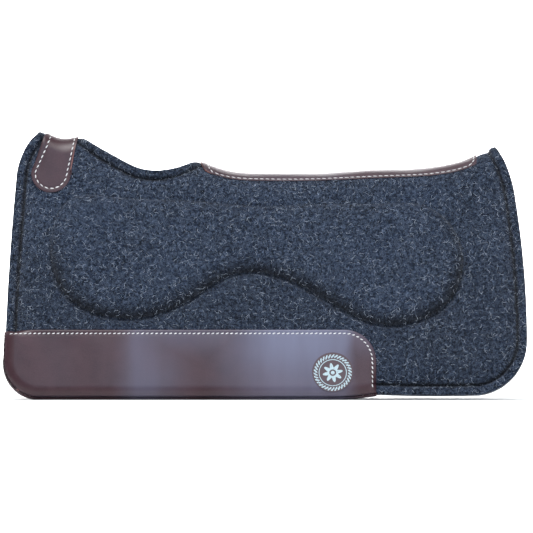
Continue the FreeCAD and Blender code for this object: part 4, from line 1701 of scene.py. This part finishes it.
# ---------------------------------------------------------------- leather
@dataclass
class WearLeathers:
    """Leather wrapped round the lower and front edges of each side, with its seam and mark."""

    shape: PadShape
    relief: Relief
    guard: LeatherGuard
    maker: StitchMaker
    hem_gap: float = 0.0002
    hem_round: float = 0.003
    seam_dent: float = 0.0005
    wave_height: float = 0.0006
    mark_middle: float = 0.1005

    def lift(self, places: np.ndarray) -> np.ndarray:
        """Depth of the leather's outer face, which lies on the felt with slow upright waves.

        Args:
            places: places on the flat cloth.

        Returns:
            Depth of each place in from the pad's outer face.
        """
        cut = self.relief.into_leather(places)
        wave = (np.sin(places[:, 0] * 2 * math.pi / 0.087 + 0.6) * 0.5
                + np.sin(places[:, 0] * 2 * math.pi / 0.151 + 1.1 + places[:, 1] * 9) * 0.5)
        calm = smooth(cut, 0.004, 0.03) * (1 - bell(places[:, 0] - self.mark_middle, 0.045))
        seam = self.seam_dent * bell(cut - self.guard.stitch_inset, 0.0011)
        rounded = self.seam_dent * (1 - cushion(np.clip(cut, 0, 1) / 0.001))
        face = self.relief.depth(places) - self.guard.thickness
        return face - self.wave_height * wave * calm + seam + rounded

    @cached_property
    def cloths(self) -> dict:
        """Regions of the sheet and of the hem, which share the pad's edge.

        Returns:
            Loops of the sheet and the hem, and the edge between them.
        """
        edge = self.shape.cut_edge
        within = inside(edge, self.relief.zone)
        numbers = np.flatnonzero(within)
        pad_edge = edge[numbers[0]:numbers[-1] + 1]
        path = self.guard.inner_path(self.shape)
        keep = inside(path, self.shape.outline)
        path = path[np.flatnonzero(keep)[0]:np.flatnonzero(keep)[-1] + 1]
        sheet_loop = np.vstack([pad_edge, path[::-1]])
        hem_edge = evenly(pad_edge + steps_into(pad_edge, self.shape.outline) * self.guard.hem, 0.004)
        hem_loop = np.vstack([pad_edge, hem_edge[::-1]])
        return {"edge": pad_edge, "sheet": sheet_loop, "hem": hem_loop}

    def skin(self, side: Side) -> bpy.types.Object:
        """Outer skin from the cut edge, round the pad's edge, to the hem inside, given its thickness.

        Args:
            side: side of the pad.

        Returns:
            The leather as a closed mesh.
        """
        places, faces, _ = FlatCloth(self.relief, self.cloths["sheet"]).triangles()
        hem_places, hem_faces, _ = FlatCloth(self.relief, self.cloths["hem"]).triangles(detail=False)
        hem_gap, _ = self.relief.from_edge(hem_places)
        hem_face = self.shape.pad_depth + self.hem_gap + self.guard.thickness
        hem_depth = hem_face - self.hem_round * (1 - cushion(hem_gap / 0.004))
        cloth, depth, skin = shell((places, facing_outwards(places, faces), self.lift(places)),
                                   (hem_places, facing_outwards(hem_places, hem_faces), hem_depth),
                                   len(self.cloths["edge"]), self.cloths["sheet"], closed=False)
        verts = self.shape.place(cloth[:, 0], cloth[:, 1], depth, side)
        piece = make_piece(f"{side.label}_leather_guard", verts, turned(skin, side), cloth)
        return thickened(piece, self.guard.thickness - 0.0003)

    def seams(self, side: Side) -> bpy.types.Object:
        """White stitches inside the cut edge.

        Args:
            side: side of the pad.

        Returns:
            The stitches.
        """
        path = self.guard.inner_path(self.shape, self.guard.stitch_inset)
        flat_floor = self.shape.laid_flat(np.array([[0.0, 0.014]]))[0, 1]
        gap, _ = self.relief.edge.measure(path)
        keep = inside(path, self.shape.outline) & (gap > 0.008) & (path[:, 1] < flat_floor)
        return Seam(self.shape, self.maker, StitchSizes()).sew(
            f"{side.label}_leather_stitches", [path[keep]], self.lift, [side], WHITE_THREAD)

    def build(self) -> None:
        """Makes both guards, their seams and dresses their marks."""
        for side in Side:
            made = ((self.skin(side), "wear_leather", "leather"),
                    (self.seams(side), "wear_leather_thread", "thread"))
            for piece, node, slot in made:
                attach(piece, side.body)
                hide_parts(f"{side.label}_{node}")
                log.info("%s: %d faces", piece.name, len(piece.data.polygons))
            dress_node(f"{side.label}_emblem", BADGE)


def thickened(piece: bpy.types.Object, thickness: float, finish: Finish = LEATHER,
              edge: Finish = CUT_EDGE) -> bpy.types.Object:
    """Gives a skin its thickness inwards, with raw edges in their own finish.

    Args:
        piece: the skin.
        thickness: its thickness.
        finish: finish of its faces.
        edge: finish of its raw edges.

    Returns:
        The piece as a closed mesh.
    """
    piece.data.materials.append(finish.material())
    piece.data.materials.append(edge.material())
    solid = piece.modifiers.new("thickness", "SOLIDIFY")
    solid.thickness, solid.offset = thickness, -1
    solid.use_even_offset, solid.use_rim = False, True
    solid.material_offset_rim = 1
    solid.thickness_clamp = 0
    return applied(piece)


@dataclass
class RidgeLeathers:
    """Pieces laid over the ridge: the spine leather, the wither strap and the lining tape."""

    shape: PadShape
    maker: StitchMaker
    relief: Relief
    clear: float = 0.0003
    leather: float = 0.0025
    strap_leather: float = 0.0027
    spine_front: float = -0.093
    spine_rear: float = 0.318
    spine_half: float = 0.035
    spine_corner: float = 0.007
    stitch_inset: float = 0.004
    tape_half: float = 0.025
    tape: float = 0.0012
    tape_short: float = 0.006
    strap_centre: float = -0.325
    strap_half: float = 0.030
    strap_front: float = -0.330
    strap_back: float = -0.282
    strap_top: float = 0.398
    strap_round: float = 0.341
    strap_inset: float = 0.006
    long_stitch: StitchSizes = field(default_factory=lambda: StitchSizes(
        pitch=0.0086, length=0.0064, width=0.0017, height=0.0011, slant=math.radians(8)))

    def strip_mesh(self, name: str, along: np.ndarray, offset: np.ndarray, depth: np.ndarray,
                   thickness: float, finishes: tuple[Finish, Finish],
                   inwards: bool = False) -> bpy.types.Object:
        """Sheet across the ridge.

        Args:
            name: piece name.
            along: place along the spine, by row and column.
            offset: distance over the ridge from its top, below zero on the near side, by row and column.
            depth: depth of the shown face, by row and column.
            thickness: thickness of the sheet, which goes away from the shown face.
            finishes: finish of its faces and of its edges.
            inwards: whether the shown face is the one on the horse's side.

        Returns:
            The sheet as a closed mesh.
        """
        rows, columns = along.shape
        flat_along, flat_offset = along.ravel(), offset.ravel()
        top = self.shape.ridge(flat_along)[2]
        near = self.shape.place(flat_along, top + np.abs(flat_offset), depth.ravel(), Side.NEAR)
        near[:, 1] *= np.where(flat_offset <= 0, 1, -1)
        index = np.arange(rows * columns).reshape(rows, columns)
        quads = np.stack([index[:-1, :-1], index[1:, :-1], index[1:, 1:], index[:-1, 1:]], -1).reshape(-1, 4)
        faces = [tuple(q) for q in (quads if not inwards else quads[:, ::-1]).tolist()]
        piece = make_piece(name, near, faces, np.column_stack([flat_along, flat_offset + 0.5]))
        return thickened(piece, thickness, *finishes)

    def spine_depth(self, along: np.ndarray, offset: np.ndarray) -> np.ndarray:
        """Depth of the spine leather's face, lower at its rows of stitches and rounded at its edges.

        Args:
            along: place along the spine.
            offset: distance over the ridge from its top.

        Returns:
            Depth of each place.
        """
        side_gap = self.spine_half - np.abs(offset)
        front_gap, rear_gap = along - self.front_line(offset), self.spine_rear - along
        gap = np.minimum(side_gap, np.minimum(front_gap, rear_gap))
        wave = np.sin(along * 2 * math.pi / 0.13 + 0.4) * smooth(gap, 0.004, 0.02)
        dent = 0.0006 * bell(gap - self.stitch_inset, 0.0012)
        return -self.clear - self.leather - 0.0004 * wave + dent + 0.0006 * (1 - cushion(gap / 0.0012))

    def front_line(self, offset: np.ndarray) -> np.ndarray:
        """Front end of the spine leather, which slants back towards its corners."""
        share = np.abs(offset) / self.spine_half
        return self.spine_front - 0.006 * (1 - share) ** 0.5 + 0.004 * share**4

    def spine_leather(self) -> bpy.types.Object:
        """Long leather over the spine.

        Returns:
            The leather as a closed mesh.
        """
        rows, columns = 150, 41
        across = np.sin(np.linspace(-1, 1, columns) * math.pi / 2) * self.spine_half
        offset = np.tile(across, (rows, 1))
        share = 0.5 - 0.5 * np.cos(np.linspace(0, 1, rows) * math.pi)
        share = 0.35 * share + 0.65 * np.linspace(0, 1, rows)
        front = self.front_line(offset)
        turning = smooth(np.abs(offset), self.spine_half - self.spine_corner, self.spine_half)
        front = front + self.spine_corner * (1 - np.sqrt(1 - turning**2 * 0.999))
        along = front + (self.spine_rear - front) * share[:, None]
        return self.strip_mesh("spine_cover", along, offset, self.spine_depth(along, offset),
                               self.leather - 0.0002, (LEATHER, CUT_EDGE))

    def strap_grid(self, rows: int, columns: int) -> tuple[np.ndarray, np.ndarray, np.ndarray]:
        """Grid over the strap, from its half circle on the near side to the one on the off side.

        Args:
            rows: rows from the ridge to one round end.
            columns: places across the strap.

        Returns:
            Place along the spine, distance over the ridge from its top, and distance from the cut edge.
        """
        across = np.cos(np.linspace(math.pi, 0, columns))
        middle, half = (self.strap_front + self.strap_back) / 2, (self.strap_back - self.strap_front) / 2
        top_along = middle + across * half
        end_along = self.strap_centre + across * self.strap_half
        end_height = self.strap_round - np.sqrt(1 - across**2) * self.strap_half
        end_drop = self.shape.laid_flat(np.column_stack([end_along, end_height]))[:, 1]
        share = np.sin(np.linspace(0, 1, rows) * math.pi / 2)[:, None]
        along = top_along * (1 - share) + end_along * share
        drop = self.shape.ridge(top_along)[2] * (1 - share) + end_drop * share
        offset = drop - self.shape.ridge(along.ravel())[2].reshape(along.shape)
        spots = self.shape.place(along.ravel(), drop.ravel(), np.zeros(along.size), Side.NEAR)
        height = spots[:, 2].reshape(along.shape)
        sides = np.minimum(along - along[:, :1], along[:, -1:] - along)
        round_gap = self.strap_half - np.hypot(along - self.strap_centre, height - self.strap_round)
        gap = np.clip(np.where(height < self.strap_round, round_gap, sides), 0, 1)
        along, gap = (np.vstack([part[::-1], part[1:]]) for part in (along, gap))
        return along, np.vstack([-offset[::-1], offset[1:]]), gap

    def wither_strap(self) -> bpy.types.Object:
        """Leather tab over the front of the spine, round at both ends.

        Returns:
            The tab as a closed mesh.
        """
        along, offset, gap = self.strap_grid(60, 31)
        depth = (-self.clear - self.strap_leather + 0.0007 * (1 - cushion(gap / 0.0014))
                 + 0.0005 * bell(gap - self.strap_inset, 0.0012))
        return self.strip_mesh("wither_tab", along.T, offset.T, depth.T, self.strap_leather - 0.0002,
                               (LEATHER, CUT_EDGE))

    def lining(self) -> bpy.types.Object:
        """Tape over the spine seam on the horse's side.

        Returns:
            The tape as a closed mesh.
        """
        rows, columns = 120, 21
        run = np.linspace(self.spine_front + self.tape_short, self.spine_rear - self.tape_short, rows)
        along = np.tile(run[:, None], (1, columns))
        radius = self.shape.ridge(along.ravel())[0]
        inner = self.shape.pad_depth + self.clear
        ratio = (radius / (radius - inner)).reshape(rows, columns)
        offset = np.tile(np.linspace(-self.tape_half, self.tape_half, columns), (rows, 1)) * ratio
        depth = np.full((rows, columns), inner + self.tape)
        return self.strip_mesh("spine_tape", along, offset, depth, self.tape - 0.0002, (TAPE, TAPE),
                               inwards=True)

    def spine_stitches(self) -> bpy.types.Object:
        """Stitches along both long edges and across both ends of the spine leather.

        Returns:
            The stitches of both sides as one piece.
        """
        half = self.spine_half - self.stitch_inset
        front, rear = self.spine_front + self.stitch_inset + 0.003, self.spine_rear - self.stitch_inset
        corner = 0.008
        bend = corner * (1 - math.sqrt(0.5))
        path = np.vstack([
            [(front - 0.005, 0)],
            arc_through((front, half - corner), (front + bend, half - bend), (front + corner, half)),
            arc_through((rear - corner, half), (rear - bend, half - bend), (rear, half - corner)),
            [(rear, 0)]])
        path = evenly(path, 0.001)
        flat = np.column_stack([path[:, 0], path[:, 1] + self.shape.ridge(path[:, 0])[2]])
        return self._sewn("spine_stitches", flat, lambda p: self.spine_depth(
            p[:, 0], p[:, 1] - self.shape.ridge(p[:, 0])[2]), self.long_stitch)

    def strap_stitches(self) -> bpy.types.Object:
        """Stitches inside the strap's edge.

        Returns:
            The stitches of both sides as one piece.
        """
        inset = self.strap_inset
        half = self.strap_half - inset
        path = np.vstack([
            [(self.strap_front + inset, self.strap_top)], [(self.strap_centre - half, self.strap_round)],
            arc_through((self.strap_centre - half, self.strap_round),
                        (self.strap_centre, self.strap_round - half),
                        (self.strap_centre + half, self.strap_round))[1:],
            [(self.strap_back - inset, self.strap_top)]])
        flat = self.shape.laid_flat(evenly(path, 0.001))
        ends = flat[[0, -1], 0]
        tops = np.column_stack([ends, self.shape.ridge(ends)[2]])
        flat = np.vstack([tops[:1], flat, tops[1:]])
        level = -self.clear - self.strap_leather + 0.0004
        return self._sewn("strap_stitches", flat, lambda p: np.full(len(p), level), self.long_stitch)

    def _sewn(self, name: str, flat: np.ndarray, depth: Profile, sizes: StitchSizes) -> bpy.types.Object:
        """Stitches on both sides of the ridge along one path."""
        return Seam(self.shape, self.maker, sizes).sew(name, [flat], depth, list(Side), WHITE_THREAD)

    def build(self) -> None:
        """Makes the pieces over the ridge."""
        made = [(self.spine_leather(), "spine_leather", "leather"),
                (self.wither_strap(), "wither_strap", "leather"),
                (self.lining(), "spine_lining", "lining"),
                (self.spine_stitches(), "spine_leather_thread", "thread"),
                (self.strap_stitches(), "wither_strap_thread", "thread")]
        for piece, node, slot in made:
            over_ridge(piece)
            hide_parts(node)
            log.info("%s: %d faces", piece.name, len(piece.data.polygons))


@dataclass
class FeltSeams:
    """Dark stitches in the groove beside the edge and round the bar panels."""

    shape: PadShape
    relief: Relief
    maker: StitchMaker
    bar_outset: float = 0.0014
    rim_stitch: StitchSizes = field(default_factory=lambda: StitchSizes(
        pitch=0.005, length=0.0038, width=0.0009, height=0.0008, slant=math.radians(6)))
    bar_stitch: StitchSizes = field(default_factory=lambda: StitchSizes(
        pitch=0.005, length=0.0036, width=0.0006, height=0.0005, slant=math.radians(6)))

    def rim_paths(self) -> list[np.ndarray]:
        """Lines in the rim groove, outside the wear leather.

        Returns:
            One line for each unbroken stretch.
        """
        edge = evenly(self.shape.cut_edge, 0.001)
        line = edge + steps_into(edge, self.shape.outline) * self.relief.GROOVE
        gap, _ = self.relief.from_edge(line)
        keep = (gap > self.relief.GROOVE - 0.0008) & (self.relief.into_leather(line) < -0.002)
        keep &= inside(line, self.shape.outline)
        numbers = np.flatnonzero(keep)
        breaks = np.flatnonzero(np.diff(numbers) > 1)
        return [line[run] for run in np.split(numbers, breaks + 1) if len(run) > 20]

    def bar_path(self) -> np.ndarray:
        """Line in the groove round the bar panel.

        Returns:
            Places round the panel, with the first one again at the end.
        """
        loop = self.shape.bar
        moved = loop - steps_into(loop, loop, closed=True) * self.bar_outset
        return np.vstack([moved, moved[:1]])

    def build(self) -> None:
        """Makes the seams of both sides."""
        seams = (("rim_stitches", self.rim_paths(), "perimeter_thread", self.rim_stitch),
                 ("bar_stitches", [self.bar_path()], "bar_pad_thread", self.bar_stitch))
        for side in Side:
            for name, paths, node, sizes in seams:
                piece = Seam(self.shape, self.maker, sizes).sew(
                    f"{side.label}_{name}", paths, self.relief.depth, [side], DARK_THREAD)
                over_ridge(piece)
                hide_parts(f"{side.label}_{node}")
                log.info("%s: %d faces", piece.name, len(piece.data.polygons))


# ---------------------------------------------------------------- studio
@dataclass
class Studio:
    """Pale floor, soft lights and a level camera."""

    view_width: float = 0.8038
    view_middle: tuple = (0.00075, 0.1998)
    distance: float = 24.0
    face_plane: float = -0.10
    sensor: float = 36.0
    floor_size: float = 80.0
    wall_behind: float = 27.0
    floor_below: float = 0.001

    def build(self) -> None:
        """Makes the floor, backdrop, lights, world and camera."""
        scene = bpy.context.scene
        paper = bpy.data.materials.new("white_paper")
        paper.use_nodes = True
        paper.node_tree.nodes.clear()
        kit = Kit(paper.node_tree)
        shader = kit.add("ShaderNodeBsdfPrincipled", None, {
            "Base Color": (0.97, 0.97, 0.97, 1), "Roughness": 0.9})
        kit.add("ShaderNodeOutputMaterial", None, {"Surface": shader.outputs[0]})
        half, back, low = self.floor_size / 2, self.wall_behind, -self.floor_below
        floor = make_piece("floor", np.array([
            (-half, -half, low), (half, -half, low), (half, half, low), (-half, half, low)]), [(0, 1, 2, 3)])
        wall = make_piece("backdrop", np.array([
            (-half, back, low), (half, back, low), (half, back, half), (-half, back, half)]), [(0, 3, 2, 1)])
        for piece in (floor, wall):
            piece.data.materials.append(paper)
        self._world(scene)
        self._sky_light()
        self._light("fill", (1.8, -3.0, 1.2), (2.0, 2.0), 30.0, (0.8, 0.9, 1.0))
        self._light("band", (0.0, -2.5, 1.95), (0.18, 1.8), 16.0, (0.6, 0.76, 1.0), (0.0, -0.14, 0.06))
        self._light("backdrop_wash", (0.0, 14.0, 12.0), (24.0, 6.0), 14000.0, (1.0, 1.0, 1.0),
                    (0.0, self.wall_behind, 2.0))
        scene.view_settings.view_transform = "Standard"
        self._camera(scene)

    def _world(self, scene: bpy.types.Scene) -> None:
        """Plain pale surroundings.

        Args:
            scene: the scene that gets them.
        """
        world = bpy.data.worlds.new("surroundings")
        world.use_nodes = True
        world.node_tree.nodes.clear()
        kit = Kit(world.node_tree)
        sky = kit.add("ShaderNodeBackground", None, {"Color": (0.93, 0.96, 1.0, 1), "Strength": 0.3})
        kit.add("ShaderNodeOutputWorld", None, {"Surface": sky.outputs[0]})
        scene.world = world

    def _sky_light(self) -> None:
        """Broad soft light from above and in front, over everything."""
        data = bpy.data.lights.new("soft_sky", "SUN")
        data.energy, data.angle = 3.3, math.radians(36)
        lamp = bpy.data.objects.new("soft_sky", data)
        lamp.rotation_euler = Vector((0.1, 0.3, -0.95)).to_track_quat("-Z", "Y").to_euler()
        bpy.context.scene.collection.objects.link(lamp)

    def _light(self, name: str, place: tuple, size: tuple, power: float, colour: tuple,
               target: tuple = (0.0, -0.05, 0.2)) -> None:
        """One area light aimed at a place.

        Args:
            name: name of the light.
            place: where it stands.
            size: its width and height.
            power: its power in watts.
            colour: its colour.
            target: what it is aimed at, the pad unless another is given.
        """
        data = bpy.data.lights.new(name, "AREA")
        data.shape, data.size, data.size_y = "RECTANGLE", size[0], size[1]
        data.energy, data.color = power, colour
        lamp = bpy.data.objects.new(name, data)
        lamp.location = place
        lamp.rotation_euler = (Vector(target) - Vector(place)).to_track_quat("-Z", "Y").to_euler()
        bpy.context.scene.collection.objects.link(lamp)

    def _camera(self, scene: bpy.types.Scene) -> None:
        """Level long-lens camera on the near side.

        Args:
            scene: the scene that gets it.
        """
        data = bpy.data.cameras.new("camera")
        data.sensor_width = self.sensor
        data.lens = self.sensor * self.distance / self.view_width
        data.clip_end = 80
        camera = bpy.data.objects.new("camera", data)
        camera.location = (self.view_middle[0], self.face_plane - self.distance, self.view_middle[1])
        camera.rotation_euler = (math.pi / 2, 0, 0)
        scene.collection.objects.link(camera)
        scene.camera = camera


def main() -> None:
    """Builds the pad's looks."""
    logging.basicConfig(level=logging.INFO, format="%(name)s: %(message)s")
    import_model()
    shape, guard = PadShape(), LeatherGuard()
    relief = Relief(shape, guard)
    StuffedCloth(relief).fill()
    maker = StitchMaker()
    Felts(shape, relief).build()
    FeltSeams(shape, relief, maker).build()
    WearLeathers(shape, relief, guard, maker).build()
    RidgeLeathers(shape, maker, relief).build()
    Studio().build()


if __name__ == "__main__":
    main()
